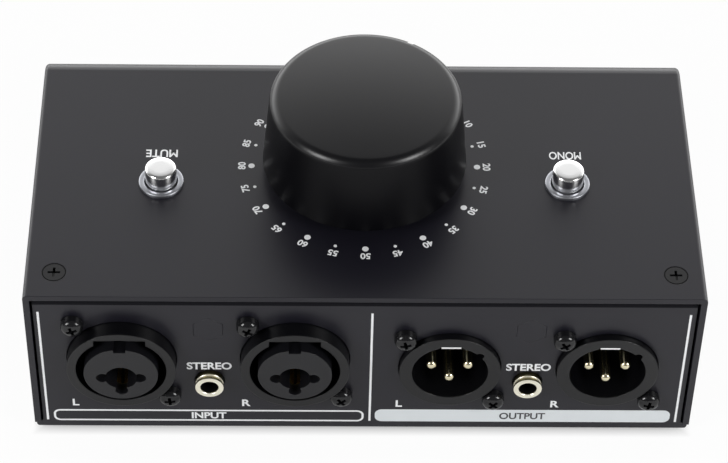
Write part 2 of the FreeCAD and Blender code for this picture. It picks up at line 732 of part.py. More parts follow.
ribs.Axis = ([f for f in knob.Origin.OriginFeatures if f.Role == "Z_Axis"][0], [""])
ribs.Angle = 360.0
ribs.setExpression("Occurrences", "sheet.knob_rib_count")
knob.Tip = ribs
doc.recompute()


def radial_bar(name, extent, inner, across, bottom, bearing):
    """A box that points away from the dial's axis, at a bearing in degrees from +X."""
    turn = math.radians(sheet_value(bearing))
    bar = doc.addObject("Part::Box", name)
    bind(bar, {"Length": extent[0], "Width": extent[1], "Height": extent[2]})
    bar.Placement = FreeCAD.Placement(FreeCAD.Vector(), FreeCAD.Rotation(FreeCAD.Vector(0, 0, 1),
                                                                         math.degrees(turn)))
    bind(bar, {"Placement.Base.x": f"({inner}) * {math.cos(turn):.9f} + ({across}) * {math.sin(turn):.9f}",
               "Placement.Base.y": f"{DIAL_Y} + ({inner}) * {math.sin(turn):.9f} - ({across}) * {math.cos(turn):.9f}",
               "Placement.Base.z": bottom})
    return bar


def pointer_bar(name):
    """The room of the pointer's groove, reaching out past the knob."""
    return radial_bar(name, ("sheet.knob_base_radius", "sheet.pointer_width", "sheet.knob_height"),
                      "sheet.pointer_inner_radius", "sheet.pointer_width / 2",
                      f"{KNOB_BOTTOM} + sheet.pointer_start", "pointer_bearing")


keep(cut("knob_grooved", knob, pointer_bar("pointer_groove")), "volume_knob")
keep(common("pointer_inlay", knob, pointer_bar("pointer_room")), "knob_pointer")


# Potentiometer: a D shaft in a threaded bushing, over two rotors between ring housings and wafers
DIAL_CENTRE = ("0", DIAL_Y)
POT_PLATE_UNDER = f"({COVER_UNDER} - sheet.pot_plate)"
CHAMBER = "((sheet.pot_height - sheet.pot_plate - 2 * sheet.wafer_height) / 2)"


def at_dial(height):
    return DIAL_CENTRE + (height,)


def ring(name, outer, inner, height, centre, axis="+Z"):
    """A tube: one cylinder bored through by another."""
    return cut(name, cylinder(f"{name}_outer", outer, height, centre, axis),
               cylinder(f"{name}_inner", inner, height, centre, axis))


SHAFT_BOTTOM = f"({CONTROL_TOP} + sheet.wafer_height + sheet.rotor_gap)"
SHAFT_TOP = f"({HUB_BOTTOM} + {SHAFT_LENGTH})"
shaft_bar = cylinder("shaft_bar", "sheet.shaft_radius", f"{SHAFT_TOP} - {SHAFT_BOTTOM}", at_dial(SHAFT_BOTTOM))
shaft_flat_cut = box("shaft_flat_cut", ("2 * sheet.shaft_radius", "sheet.shaft_radius", f"{SHAFT_TOP} - {HUB_BOTTOM}"),
                     ("-sheet.shaft_radius", f"{DIAL_Y} + sheet.shaft_flat", HUB_BOTTOM))
keep(cut("dial_shaft", shaft_bar, shaft_flat_cut), "pot_shaft")

rotors = []
for chamber in (0, 1):
    rotor_low = f"({CONTROL_TOP} + sheet.wafer_height * {chamber + 1} + {CHAMBER} * {chamber} + sheet.rotor_gap)"
    rotors.append(ring(f"rotor_{chamber}", "sheet.pot_radius - sheet.pot_wall - sheet.rotor_gap",
                       "sheet.shaft_radius", "sheet.rotor_height", at_dial(rotor_low)))
keep(group("rotor_pair", rotors), "pot_rotors")
bushing_tube = ring("bushing_tube", "sheet.bushing_radius", "sheet.shaft_radius + sheet.shaft_running_gap",
                    "sheet.cover_sheet + sheet.bushing_height", at_dial(COVER_UNDER))
bushing_plate = ring("bushing_plate", "sheet.pot_radius", "sheet.shaft_radius + sheet.shaft_running_gap",
                     "sheet.pot_plate", at_dial(POT_PLATE_UNDER))
keep(fuse("bushing_and_plate", [bushing_tube, bushing_plate]), "pot_bushing")
wafers = []
housings = []
for chamber in (0, 1):
    wafer_low = f"({CONTROL_TOP} + (sheet.wafer_height + {CHAMBER}) * {chamber})"
    bore = "sheet.shaft_radius + sheet.rotor_gap"
    wafers.append(ring(f"wafer_{chamber}", "sheet.pot_radius", bore, "sheet.wafer_height", at_dial(wafer_low)))
    housings.append(ring(f"housing_{chamber}", "sheet.pot_radius", "sheet.pot_radius - sheet.pot_wall", CHAMBER,
                         at_dial(f"{wafer_low} + sheet.wafer_height")))
keep(group("housing_pair", housings), "pot_housings")
terminals = []
for chamber, reach in enumerate(("sheet.terminal_first_reach", "sheet.terminal_second_reach")):
    wafer_low = f"({CONTROL_TOP} + (sheet.wafer_height + {CHAMBER}) * {chamber})"
    board_under = f"({CONTROL_TOP} - sheet.board_sheet)"
    outer_end = f"({DIAL_Y} - sheet.pot_radius - {reach} - sheet.terminal_sheet)"
    for step in (-1, 0, 1):
        name = f"terminal_{len(terminals)}"
        across = f"{step} * sheet.terminal_spacing - sheet.terminal_width / 2"
        arm = box(f"{name}_arm",
                  ("sheet.terminal_width", f"{reach} + sheet.terminal_sheet + sheet.terminal_entry",
                   "sheet.terminal_sheet"), (across, outer_end, f"{wafer_low} + sheet.terminal_rise"))
        leg_low = f"({board_under} - sheet.tail_below_board)"
        leg = box(f"{name}_leg",
                  ("sheet.terminal_width", "sheet.terminal_sheet",
                   f"{wafer_low} + sheet.terminal_rise + sheet.terminal_sheet - {leg_low}"),
                  (across, outer_end, leg_low))
        terminals.append(fuse(name, [arm, leg]))
terminal_set = group("terminal_set", terminals)
keep(terminal_set, "pot_terminals")
keep(cut("wafers_slotted", group("wafer_pair", wafers), terminal_set), "pot_wafers")
keep(ring("dial_washer", "sheet.washer_radius", "sheet.bushing_radius + sheet.thread_clearance",
          "sheet.washer_height", at_dial(COVER_TOP)), "dial_washer")
nut_low = f"({COVER_TOP} + sheet.washer_height)"
nut_bar = prism("dial_nut_bar", "sheet.dial_nut_across", "sheet.dial_nut_height", at_dial(nut_low))
nut_bore = cylinder("dial_nut_bore", "sheet.bushing_radius + sheet.thread_clearance", "sheet.dial_nut_height",
                    at_dial(nut_low))
keep(cut("dial_nut_piece", nut_bar, nut_bore), "dial_nut")

# Push buttons: a cap on a plunger over a latching switch, guided in a bezel
for name, place_x in BUTTON_PLACES.items():
    centre = (place_x, BUTTON_Y)
    cap = cylinder(f"{name}_cap_bar", "sheet.button_radius", "sheet.button_height", centre + (BUTTON_UNDER,))
    cap_edge = doc.addObject("Part::Chamfer", f"{name}_cap_edge")
    cap_edge.Base = cap
    doc.recompute()
    top_edge = [index for index, edge in enumerate(cap.Shape.Edges, start=1)
                if near(edge.BoundBox.ZMin, size(BUTTON_TOP)) and near(edge.BoundBox.ZMax, size(BUTTON_TOP))]
    cap_edge.Edges = [(index, sheet_value("button_edge"), sheet_value("button_edge")) for index in top_edge]
    socket = box(f"{name}_socket", ("sheet.plunger_width", "sheet.plunger_width", "sheet.plunger_socket"),
                 (f"{place_x} - sheet.plunger_width / 2", f"{BUTTON_Y} - sheet.plunger_width / 2", BUTTON_UNDER))
    keep(cut(f"{name}_cap_piece", cap_edge, socket), f"{name}_button_cap")
    plunger_low = f"({SWITCH_TOP} - sheet.plunger_in_switch)"
    keep(box(f"{name}_plunger_bar",
             ("sheet.plunger_width", "sheet.plunger_width", f"{BUTTON_UNDER} + sheet.plunger_socket - {plunger_low}"),
             (f"{place_x} - sheet.plunger_width / 2", f"{BUTTON_Y} - sheet.plunger_width / 2", plunger_low)),
         f"{name}_plunger")
    switch_block = box(f"{name}_switch_block", ("sheet.switch_width", "sheet.switch_width", "sheet.switch_height"),
                       (f"{place_x} - sheet.switch_width / 2", f"{BUTTON_Y} - sheet.switch_width / 2", CONTROL_TOP))
    well_width = "(sheet.plunger_width + 2 * sheet.plunger_gap)"
    well_low = f"({plunger_low} - sheet.button_travel - sheet.plunger_gap)"
    switch_well = box(f"{name}_switch_well", (well_width, well_width, f"{SWITCH_TOP} - {well_low}"),
                      (f"{place_x} - {well_width} / 2", f"{BUTTON_Y} - {well_width} / 2", well_low))
    keep(cut(f"{name}_switch_piece", switch_block, switch_well), f"{name}_switch_body")
    legs = [box(f"{name}_leg_{row}_{column}",
                ("sheet.switch_leg_width", "sheet.switch_leg_width", "sheet.board_sheet + sheet.tail_below_board"),
                (f"{place_x} + {column} * sheet.switch_leg_across - sheet.switch_leg_width / 2",
                 f"{BUTTON_Y} + {row} * sheet.switch_leg_step - sheet.switch_leg_width / 2",
                 f"{CONTROL_TOP} - sheet.board_sheet - sheet.tail_below_board"))
            for row in (-1, 0, 1) for column in (-1, 1)]
    keep(group(f"{name}_leg_set", legs), f"{name}_switch_legs")
    bezel_low = f"({COVER_TOP} - sheet.bezel_depth)"
    bezel_sleeve = ring(f"{name}_sleeve", "sheet.bezel_sleeve", "sheet.bezel_bore",
                        "sheet.bezel_depth + sheet.bezel_height", centre + (bezel_low,))
    bezel_rim = ring(f"{name}_rim", "sheet.bezel_radius", "sheet.bezel_bore", "sheet.bezel_height",
                     centre + (COVER_TOP,))
    keep(fuse(f"{name}_bezel_piece", [bezel_sleeve, bezel_rim]), f"{name}_bezel")
    keep(ring(f"{name}_spring_coil", "sheet.spring_radius + sheet.spring_wire / 2",
              "sheet.spring_radius - sheet.spring_wire / 2", f"{BUTTON_UNDER} - {SWITCH_TOP}",
              centre + (SWITCH_TOP,)), f"{name}_return_spring")

# Control board under the cover, and the board that the connectors are soldered to
control_board = new_body("control_board_body")
control_plan = new_sketch(control_board, "control_plan", "XY_Plane", f"{CONTROL_TOP} - sheet.board_sheet")
draw_rectangle(control_plan, "-sheet.control_board_width / 2", "sheet.control_board_width / 2",
               "-sheet.control_board_front", "sheet.control_board_rear")
pad(control_board, "control_board_sheet", control_plan, "sheet.board_sheet")
pin_holes = new_sketch(control_board, "pin_holes", "XY_Plane", CONTROL_TOP)
for reach in ("sheet.terminal_first_reach", "sheet.terminal_second_reach"):
    for step in (-1, 0, 1):
        draw_circle(pin_holes, f"{step} * sheet.terminal_spacing",
                    f"{DIAL_Y} - sheet.pot_radius - {reach} - sheet.terminal_sheet / 2",
                    "sheet.terminal_hole_radius")
for place_x in BUTTON_PLACES.values():
    for row in (-1, 0, 1):
        for column in (-1, 1):
            draw_circle(pin_holes, f"{place_x} + {column} * 3", f"{BUTTON_Y} + {row} * 2", "0.45")
pocket(control_board, "control_pin_holes", pin_holes, "sheet.board_sheet")
keep(control_board, "control_board")

io_board = new_body("io_board_body")
io_plan = new_sketch(io_board, "io_plan", "XZ_Plane", f"-{BOARD_FACE}")
draw_rectangle(io_plan, "-sheet.io_board_width / 2", "sheet.io_board_width / 2",
               "sheet.io_board_bottom", "sheet.io_board_top")
pad(io_board, "io_board_sheet", io_plan, "sheet.board_sheet")
io_cuts = new_sketch(io_board, "io_cuts", "XZ_Plane", f"-{BOARD_FACE}")
TAIL_HALF = "(sheet.tail_width / 2 + sheet.panel_hole_gap)"
for place_x in COMBO_PLACES.values():
    draw_rectangle(io_cuts, f"{place_x} - {TAIL_HALF}", f"{place_x} + {TAIL_HALF}",
                   f"{PLUG_Z} - {TAIL_HALF}", f"{PLUG_Z} + {TAIL_HALF}")
PIN_SPOTS = ((-1, 0), (1, 0), (0, -1))
for place_x in OUTPUT_PLACES.values():
    for across, down in PIN_SPOTS:
        draw_circle(io_cuts, f"{place_x} + {across} * sheet.contact_spacing",
                    f"{OUTPUT_Z} + sheet.pin_rise + {down} * sheet.contact_spacing",
                    "sheet.pin_radius * 0.5 + sheet.thread_clearance")
for place_x in JACK_PLACES.values():
    draw_circle(io_cuts, place_x, STANDOFF_Z, "sheet.screw_radius + sheet.seat_gap")
pocket(io_board, "io_board_openings", io_cuts, "sheet.board_sheet", reverse=True)
keep(io_board, "io_board")

# Attenuator resistors, in two rows under the control board
resistors = []
for row in (-1, 1):
    for step in (-2, -1, 0, 1, 2):
        resistors.append(box(f"resistor_{len(resistors)}",
                             ("sheet.resistor_length", "sheet.resistor_width", "sheet.resistor_height"),
                             (f"{step} * sheet.resistor_spacing - sheet.resistor_length / 2",
                              f"{DIAL_Y} + {row} * sheet.resistor_row / 2 - sheet.resistor_width / 2",
                              f"{CONTROL_TOP} - sheet.board_sheet - sheet.resistor_height")))
keep(group("resistor_set", resistors), "board_resistors")

# Ribbon cable between the two boards, with a header on each
HEADER_X = "-sheet.header_across"
IO_HEADER_Z = "(sheet.io_board_top - sheet.header_below_edge)"
io_header = box("io_header", ("sheet.header_width", "sheet.header_height", "sheet.header_thickness"),
                (f"{HEADER_X} - sheet.header_width / 2", f"{BOARD_BACK} - sheet.header_height", IO_HEADER_Z))
RIBBON_Y = f"({BOARD_BACK} - sheet.header_height - sheet.ribbon_bend - sheet.ribbon_run)"
control_header = box("control_header", ("sheet.header_width", "sheet.header_thickness", "sheet.header_height"),
                     (f"{HEADER_X} - sheet.header_width / 2", f"{RIBBON_Y} - sheet.header_thickness / 2", CONTROL_TOP))
keep(group("header_pair", [io_header, control_header]), "ribbon_headers")
ribbon = new_body("ribbon_body")
ribbon_side = new_sketch(ribbon, "ribbon_side", "YZ_Plane", HEADER_X)
RIBBON_TOP = f"({IO_HEADER_Z} + sheet.header_thickness / 2 + sheet.ribbon_sheet / 2)"
draw_outline(ribbon_side, [
    (f"{BOARD_BACK} - sheet.header_height", f"{RIBBON_TOP} - sheet.ribbon_sheet"),
    (f"{BOARD_BACK} - sheet.header_height", RIBBON_TOP),
    (f"{RIBBON_Y} - sheet.ribbon_sheet / 2", RIBBON_TOP, "sheet.ribbon_bend + sheet.ribbon_sheet"),
    (f"{RIBBON_Y} - sheet.ribbon_sheet / 2", f"{CONTROL_TOP} + sheet.header_height"),
    (f"{RIBBON_Y} + sheet.ribbon_sheet / 2", f"{CONTROL_TOP} + sheet.header_height"),
    (f"{RIBBON_Y} + sheet.ribbon_sheet / 2", f"{RIBBON_TOP} - sheet.ribbon_sheet", "sheet.ribbon_bend")])
pad(ribbon, "ribbon_band", ribbon_side, "sheet.ribbon_width", midplane=True)
keep(ribbon, "ribbon_cable")

# Combination inputs: a shell through the panel with a flange behind it, and a round insert inside
for side, place_x in COMBO_PLACES.items():
    nose = cylinder(f"combo_nose_{side}", "sheet.combo_ring_radius", f"{COMBO_FACE} - {PANEL_BACK}",
                    (place_x, PANEL_BACK, COMBO_Z), "+Y")
    flange = box(f"combo_flange_{side}", ("sheet.combo_flange_width", "sheet.flange_thickness",
                                          "sheet.combo_flange_height"),
                 (f"{place_x} - sheet.combo_flange_width / 2", f"{PANEL_BACK} - sheet.flange_thickness",
                  f"{COMBO_Z} - sheet.combo_flange_height / 2"))
    barrel = cylinder(f"combo_barrel_{side}", "sheet.combo_ring_radius", "sheet.io_board_behind",
                      (place_x, BOARD_FACE, COMBO_Z), "+Y")
    bore = cylinder(f"combo_bore_{side}", "sheet.combo_bore_radius",
                    f"{COMBO_FACE} - sheet.combo_lip_depth - {BOARD_FACE}", (place_x, BOARD_FACE, COMBO_Z), "+Y")
    lip_bore = cylinder(f"combo_lip_bore_{side}", "sheet.combo_lip_radius", f"{COMBO_FACE} - {BOARD_FACE}",
                        (place_x, BOARD_FACE, COMBO_Z), "+Y")
    slot = box(f"combo_slot_{side}", ("sheet.combo_slot_width", "sheet.combo_slot_depth", "sheet.combo_slot_rise"),
               (f"{place_x} - sheet.combo_slot_width / 2", f"{COMBO_FACE} - sheet.combo_slot_depth", COMBO_Z))
    screw_holes = [cylinder(f"combo_screw_hole_{side}_{turn}", "sheet.connector_screw_radius + sheet.thread_clearance",
                            "sheet.flange_thickness",
                            (f"{place_x} - {turn} * sheet.combo_screw_across",
                             f"{PANEL_BACK} - sheet.flange_thickness",
                             f"{COMBO_Z} - {turn} * sheet.combo_screw_up"), "+Y") for turn in (-1, 1)]
    shell = fuse(f"combo_shell_{side}", [nose, flange, barrel])
    keep(cut(f"combo_shell_bored_{side}", shell, fuse(f"combo_hollows_{side}", [bore, lip_bore, slot] + screw_holes)),
         f"input_{side}_shell")
    disc = cylinder(f"insert_disc_{side}", "sheet.combo_insert_radius", f"{INSERT_FACE} - {BOARD_FACE}",
                    (place_x, BOARD_FACE, COMBO_Z), "+Y")
    insert_flange = cylinder(f"insert_flange_{side}", "sheet.combo_bore_radius - sheet.insert_flange_gap",
                             "sheet.insert_flange_sheet", (place_x, BOARD_FACE, COMBO_Z), "+Y")
    edge_notch = box(f"insert_edge_notch_{side}",
                     ("sheet.insert_notch_width", "sheet.insert_notch_depth", "sheet.combo_insert_radius"),
                     (f"{place_x} - sheet.insert_notch_width / 2", f"{INSERT_FACE} - sheet.insert_notch_depth",
                      f"{COMBO_Z} + sheet.combo_insert_radius - sheet.insert_notch_drop"))
    tail_end = f"({INSERT_FACE} - sheet.plug_depth - sheet.tail_end_wall)"
    tail = box(f"insert_tail_{side}", ("sheet.tail_width", f"{BOARD_FACE} - {tail_end}", "sheet.tail_width"),
               (f"{place_x} - sheet.tail_width / 2", tail_end, f"{PLUG_Z} - sheet.tail_width / 2"))
    plug_bore = cylinder(f"plug_bore_{side}", "sheet.plug_bore_radius", "sheet.plug_depth",
                         (place_x, f"{INSERT_FACE} - sheet.plug_depth", PLUG_Z), "+Y")
    mouth = cylinder(f"plug_mouth_{side}", "sheet.plug_mouth_radius", "sheet.contact_hole_depth",
                     (place_x, f"{INSERT_FACE} - sheet.contact_hole_depth", PLUG_Z), "+Y")
    lobes = [cylinder(f"contact_hole_{side}_{index}", "sheet.contact_hole_radius", "sheet.contact_hole_depth",
                      (f"{place_x} + {across} * sheet.contact_spacing",
                       f"{INSERT_FACE} - sheet.contact_hole_depth",
                       f"{PLUG_Z} + {down} * sheet.contact_spacing"), "+Y")
             for index, (across, down) in enumerate(PIN_SPOTS)]
    keep(cut(f"insert_bored_{side}", fuse(f"insert_blank_{side}", [disc, insert_flange, tail]),
             fuse(f"insert_holes_{side}", [plug_bore, mouth, edge_notch] + lobes)), f"input_{side}_insert")
    sockets = []
    for index, (across, down) in enumerate(PIN_SPOTS):
        spot = (f"{place_x} + {across} * sheet.contact_spacing",
                f"{INSERT_FACE} - sheet.contact_hole_depth",
                f"{PLUG_Z} + {down} * sheet.contact_spacing")
        tube = ring(f"contact_tube_{side}_{index}", "sheet.contact_hole_radius",
                    "sheet.contact_hole_radius - sheet.contact_wall",
                    "sheet.contact_hole_depth - sheet.contact_recess", spot, "+Y")
        plug_room = cylinder(f"contact_plug_room_{side}_{index}",
                             "sheet.plug_mouth_radius + sheet.contact_mouth_gap", "sheet.contact_hole_depth",
                             (place_x, f"{INSERT_FACE} - sheet.contact_hole_depth", PLUG_Z), "+Y")
        sockets.append(cut(f"contact_{side}_{index}", tube, plug_room))
    keep(group(f"contact_set_{side}", sockets), f"input_{side}_contacts")

# Three-pin outputs: a shell with a deep cup, a keyway, three pins and a ground spring at the top
ground_springs = []
for side, place_x in OUTPUT_PLACES.items():
    nose = cylinder(f"output_nose_{side}", "sheet.output_ring_radius", f"{OUTPUT_FACE} - {PANEL_BACK}",
                    (place_x, PANEL_BACK, OUTPUT_Z), "+Y")
    flange = box(f"output_flange_{side}", ("sheet.output_flange_width", "sheet.flange_thickness",
                                           "sheet.output_flange_height"),
                 (f"{place_x} - sheet.output_flange_width / 2", f"{PANEL_BACK} - sheet.flange_thickness",
                  f"{OUTPUT_Z} - sheet.output_flange_height / 2"))
    barrel = cylinder(f"output_barrel_{side}", "sheet.output_ring_radius - sheet.output_barrel_step", "sheet.io_board_behind",
                      (place_x, BOARD_FACE, OUTPUT_Z), "+Y")
    cup = cylinder(f"output_cup_{side}", "sheet.output_cup_radius", "sheet.output_cup_depth",
                   (place_x, f"{OUTPUT_FACE} - sheet.output_cup_depth", OUTPUT_Z), "+Y")
    bearing = math.radians(sheet_value("keyway_bearing"))
    keyway = cylinder(f"output_keyway_{side}", "sheet.keyway_radius", "sheet.output_cup_depth",
                      (f"{place_x} + sheet.output_cup_radius * {math.cos(bearing):.9f}",
                       f"{OUTPUT_FACE} - sheet.output_cup_depth",
                       f"{OUTPUT_Z} + sheet.output_cup_radius * {math.sin(bearing):.9f}"), "+Y")
    spring_seat = box(f"output_spring_seat_{side}",
                      ("sheet.spring_seat_width", "sheet.ground_spring_length + sheet.ground_spring_recess",
                       "sheet.output_cup_radius"),
                      (f"{place_x} - sheet.spring_seat_width / 2",
                       f"{OUTPUT_FACE} - sheet.ground_spring_length - sheet.ground_spring_recess", OUTPUT_Z))
    ground_springs.append(box(f"ground_spring_{side}",
                              ("sheet.ground_spring_width", "sheet.ground_spring_length",
                               "sheet.ground_spring_sheet"),
                              (f"{place_x} - sheet.ground_spring_width / 2",
                               f"{OUTPUT_FACE} - sheet.ground_spring_length - sheet.ground_spring_recess",
                               f"{OUTPUT_Z} + sheet.output_cup_radius - sheet.ground_spring_sheet")))
    pin_holes_list = [cylinder(f"output_pin_hole_{side}_{index}", "sheet.pin_stem_radius",
                               f"{OUTPUT_FACE} - sheet.output_cup_depth - {BOARD_FACE}",
                               (f"{place_x} + {across} * sheet.contact_spacing", BOARD_FACE,
                                f"{OUTPUT_Z} + sheet.pin_rise + {down} * sheet.contact_spacing"), "+Y")
                      for index, (across, down) in enumerate(PIN_SPOTS)]
    screw_holes = [cylinder(f"output_screw_hole_{side}_{turn}",
                            "sheet.connector_screw_radius + sheet.thread_clearance", "sheet.flange_thickness",
                            (f"{place_x} - {turn} * sheet.output_screw_offset",
                             f"{PANEL_BACK} - sheet.flange_thickness",
                             f"{OUTPUT_Z} - {turn} * sheet.output_screw_offset"), "+Y") for turn in (-1, 1)]
    keep(cut(f"output_shell_bored_{side}", fuse(f"output_shell_{side}", [nose, flange, barrel]),
             fuse(f"output_hollows_{side}", [cup, keyway, spring_seat] + pin_holes_list + screw_holes)), f"output_{side}_shell")
    pin_set = []
    for index, (across, down) in enumerate(PIN_SPOTS):
        pin_x = f"{place_x} + {across} * sheet.contact_spacing"
        pin_z = f"{OUTPUT_Z} + sheet.pin_rise + {down} * sheet.contact_spacing"
        tip = f"({OUTPUT_FACE} - sheet.pin_recess - sheet.pin_radius)"
        cup_floor = f"({OUTPUT_FACE} - sheet.output_cup_depth)"
        stem = cylinder(f"output_pin_stem_{side}_{index}", "sheet.pin_stem_radius", f"{cup_floor} - {BOARD_FACE}",
                        (pin_x, BOARD_FACE, pin_z), "+Y")
        rod = cylinder(f"output_pin_{side}_{index}", "sheet.pin_radius", f"{tip} - {cup_floor}",
                       (pin_x, cup_floor, pin_z), "+Y")
        end = doc.addObject("Part::Sphere", f"output_pin_end_{side}_{index}")
        end.setExpression("Radius", "sheet.pin_radius")
        place(end, (pin_x, tip, pin_z))
        wire = cylinder(f"output_pin_wire_{side}_{index}", "sheet.pin_radius / 2", "sheet.board_sheet + sheet.pin_tail",
                        (pin_x, f"{BOARD_BACK} - sheet.pin_tail", pin_z), "+Y")
        pin_set.append(fuse(f"output_pin_whole_{side}_{index}", [stem, rod, end, wire]))
    keep(group(f"output_pin_set_{side}", pin_set), f"output_{side}_pins")
keep(group("ground_spring_pair", ground_springs), "output_ground_springs")

# Stereo mini jacks: a block on the board with a grooved metal sleeve through the panel
for name, place_x in JACK_PLACES.items():
    block = box(f"jack_block_{name}", ("sheet.jack_body_width", "sheet.io_board_behind", "sheet.jack_body_height"),
                (f"{place_x} - sheet.jack_body_width / 2", BOARD_FACE, f"{JACK_Z} - sheet.jack_body_height / 2"))
    jack_bore = cylinder(f"jack_bore_{name}", "sheet.jack_bore_radius", "sheet.jack_depth",
                         (place_x, f"{JACK_FACE} - sheet.jack_depth", JACK_Z), "+Y")
    keep(cut(f"jack_block_bored_{name}", block, jack_bore), f"{name}_mini_jack")
sleeves = []
for name, place_x in JACK_PLACES.items():
    tube = ring(f"jack_sleeve_{name}", "sheet.jack_ring_radius", "sheet.jack_bore_radius",
                f"{JACK_FACE} - {PANEL_BACK}", (place_x, PANEL_BACK, JACK_Z), "+Y")
    groove = ring(f"jack_groove_{name}", "sheet.jack_ring_radius", "sheet.jack_ring_radius - sheet.jack_groove",
                  "sheet.jack_groove", (place_x, f"{JACK_FACE} - 2 * sheet.jack_groove", JACK_Z), "+Y")
    sleeves.append(cut(f"jack_sleeve_grooved_{name}", tube, groove))
keep(group("jack_sleeve_pair", sleeves), "mini_jack_sleeves")

# Clinch standoffs from the panel to the board, and their screws
standoffs = []
board_screws = []
for name, place_x in JACK_PLACES.items():
    head = prism(f"standoff_head_{name}", "sheet.standoff_across", "sheet.standoff_head",
                 (place_x, f"{PANEL_FACE} + sheet.standoff_proud - sheet.standoff_head", STANDOFF_Z),
                 "+Y, corner up")
    barrel = cylinder(f"standoff_barrel_{name}", "sheet.standoff_radius",
                      f"{PANEL_FACE} + sheet.standoff_proud - {BOARD_FACE}", (place_x, BOARD_FACE, STANDOFF_Z), "+Y")
    thread = cylinder(f"standoff_thread_{name}", "sheet.screw_radius + sheet.thread_clearance",
                      "sheet.standoff_thread",
                      (place_x, BOARD_FACE, STANDOFF_Z), "+Y")
    standoffs.append(cut(f"standoff_{name}", fuse(f"standoff_blank_{name}", [head, barrel]), thread))
    screw_head = cylinder(f"board_screw_head_{name}", "sheet.nut_radius", "sheet.connector_head_height",
                          (place_x, f"{BOARD_BACK} - sheet.connector_head_height", STANDOFF_Z), "+Y")
    screw_shank = cylinder(f"board_screw_shank_{name}", "sheet.screw_radius", "sheet.connector_screw_length",
                           (place_x, BOARD_BACK, STANDOFF_Z), "+Y")
    board_screws.append(fuse(f"board_screw_{name}", [screw_head, screw_shank]))
keep(group("standoff_pair", standoffs), "panel_standoffs")
keep(group("board_screw_pair", board_screws), "board_screws")


def panel_screw(name, place_x, place_z):
    """A round-headed screw through the panel into a connector's flange."""
    bar = cylinder(f"{name}_bar", "sheet.connector_head_radius", "sheet.connector_head_height",
                   (place_x, PANEL_FACE, place_z), "+Y")
    dome = doc.addObject("Part::Sphere", f"{name}_dome")
    dome.setExpression("Radius", "sheet.connector_dome_radius")
    place(dome, (place_x, f"{PANEL_FACE} + sheet.connector_head_height - sheet.connector_dome_radius", place_z))
    head = common(f"{name}_head", bar, dome)
    shank = cylinder(f"{name}_shank", "sheet.connector_screw_radius", "sheet.connector_screw_length",
                     (place_x, f"{PANEL_FACE} - sheet.connector_screw_length", place_z), "+Y")
    recess = cross_recess(f"{name}_cross", (place_x, f"{PANEL_FACE} + sheet.connector_head_height", place_z),
                          "sheet.connector_recess_depth", "sheet.connector_recess_arm", "+Y")
    return cut(name, fuse(f"{name}_blank", [head, shank]), recess)


input_screws = [panel_screw(f"input_screw_{side}_{turn + 1}", f"{place_x} - {turn} * sheet.combo_screw_across",
                            f"{COMBO_Z} - {turn} * sheet.combo_screw_up")
                for side, place_x in COMBO_PLACES.items() for turn in (-1, 1)]
keep(group("input_screw_set", input_screws), "input_screws")
output_screws = [panel_screw(f"output_screw_{side}_{turn + 1}", f"{place_x} - {turn} * sheet.output_screw_offset",
                             f"{OUTPUT_Z} - {turn} * sheet.output_screw_offset")
                 for side, place_x in OUTPUT_PLACES.items() for turn in (-1, 1)]
keep(group("output_screw_set", output_screws), "output_screws")

doc.recompute()
failed = [piece.Name for piece in doc.Objects if "Invalid" in piece.State or "Error" in piece.State]
for label, piece in nodes.items():
    if piece.Shape.isNull() or not piece.Shape.isValid() or not piece.Shape.Solids:
        failed.append(label)
if failed:
    raise RuntimeError("these pieces failed: " + ", ".join(failed))
os.makedirs("parts", exist_ok=True)
for label, piece in nodes.items():
    piece.Shape.exportStep(os.path.join("parts", label + ".step"))
print(len(nodes), "nodes written")
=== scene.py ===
"""Looks of a studio monitor controller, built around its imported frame."""

import math

import bmesh
import bpy
from mathutils import Matrix, Vector


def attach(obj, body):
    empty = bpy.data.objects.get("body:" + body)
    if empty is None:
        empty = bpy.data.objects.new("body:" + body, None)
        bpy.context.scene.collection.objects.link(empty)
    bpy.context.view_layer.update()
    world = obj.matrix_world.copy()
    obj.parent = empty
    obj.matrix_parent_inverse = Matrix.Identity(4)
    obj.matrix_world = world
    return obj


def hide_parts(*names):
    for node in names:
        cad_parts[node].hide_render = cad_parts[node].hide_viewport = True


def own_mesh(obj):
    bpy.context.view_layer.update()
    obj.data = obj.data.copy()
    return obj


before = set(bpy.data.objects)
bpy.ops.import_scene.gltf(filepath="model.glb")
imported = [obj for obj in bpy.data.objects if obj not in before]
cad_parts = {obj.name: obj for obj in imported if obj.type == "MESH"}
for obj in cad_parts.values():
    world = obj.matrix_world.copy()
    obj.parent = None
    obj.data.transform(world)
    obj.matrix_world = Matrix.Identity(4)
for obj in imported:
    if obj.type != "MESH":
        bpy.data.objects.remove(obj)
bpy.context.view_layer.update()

# One millimetre in metres, and the levels and places that many pieces share, in millimetres

MM = 0.001
REAR_EDGE = 35.75
PANEL_FACE = 35.05
PANEL_BACK = 33.55
COVER_TOP = 45.7
HALF_WIDTH = 73.6
DIAL_Y = -3.9
BUTTON_Y = 1.45
BUTTON_X = 45.2
PRINT_RISE = 0.03

# Limits of the mesh tools: a radius in millimetres that counts as none, and two distances in metres
ON_AXIS = 1e-6
PLATE_WELD = 1e-7
SOLID_WELD = 1e-6


# Materials

def new_material(name, colour, roughness, metallic=0.0, coat=0.0, specular=0.5):
    """A principled material whose uniform values sit on the shader's own sockets."""
    material = bpy.data.materials.new(name)
    material.use_nodes = True
    shader = material.node_tree.nodes["Principled BSDF"]
    shader.inputs["Base Color"].default_value = (*colour, 1.0)
    shader.inputs["Roughness"].default_value = roughness
    shader.inputs["Metallic"].default_value = metallic
    shader.inputs["Coat Weight"].default_value = coat
    shader.inputs["Specular IOR Level"].default_value = specular
    return material


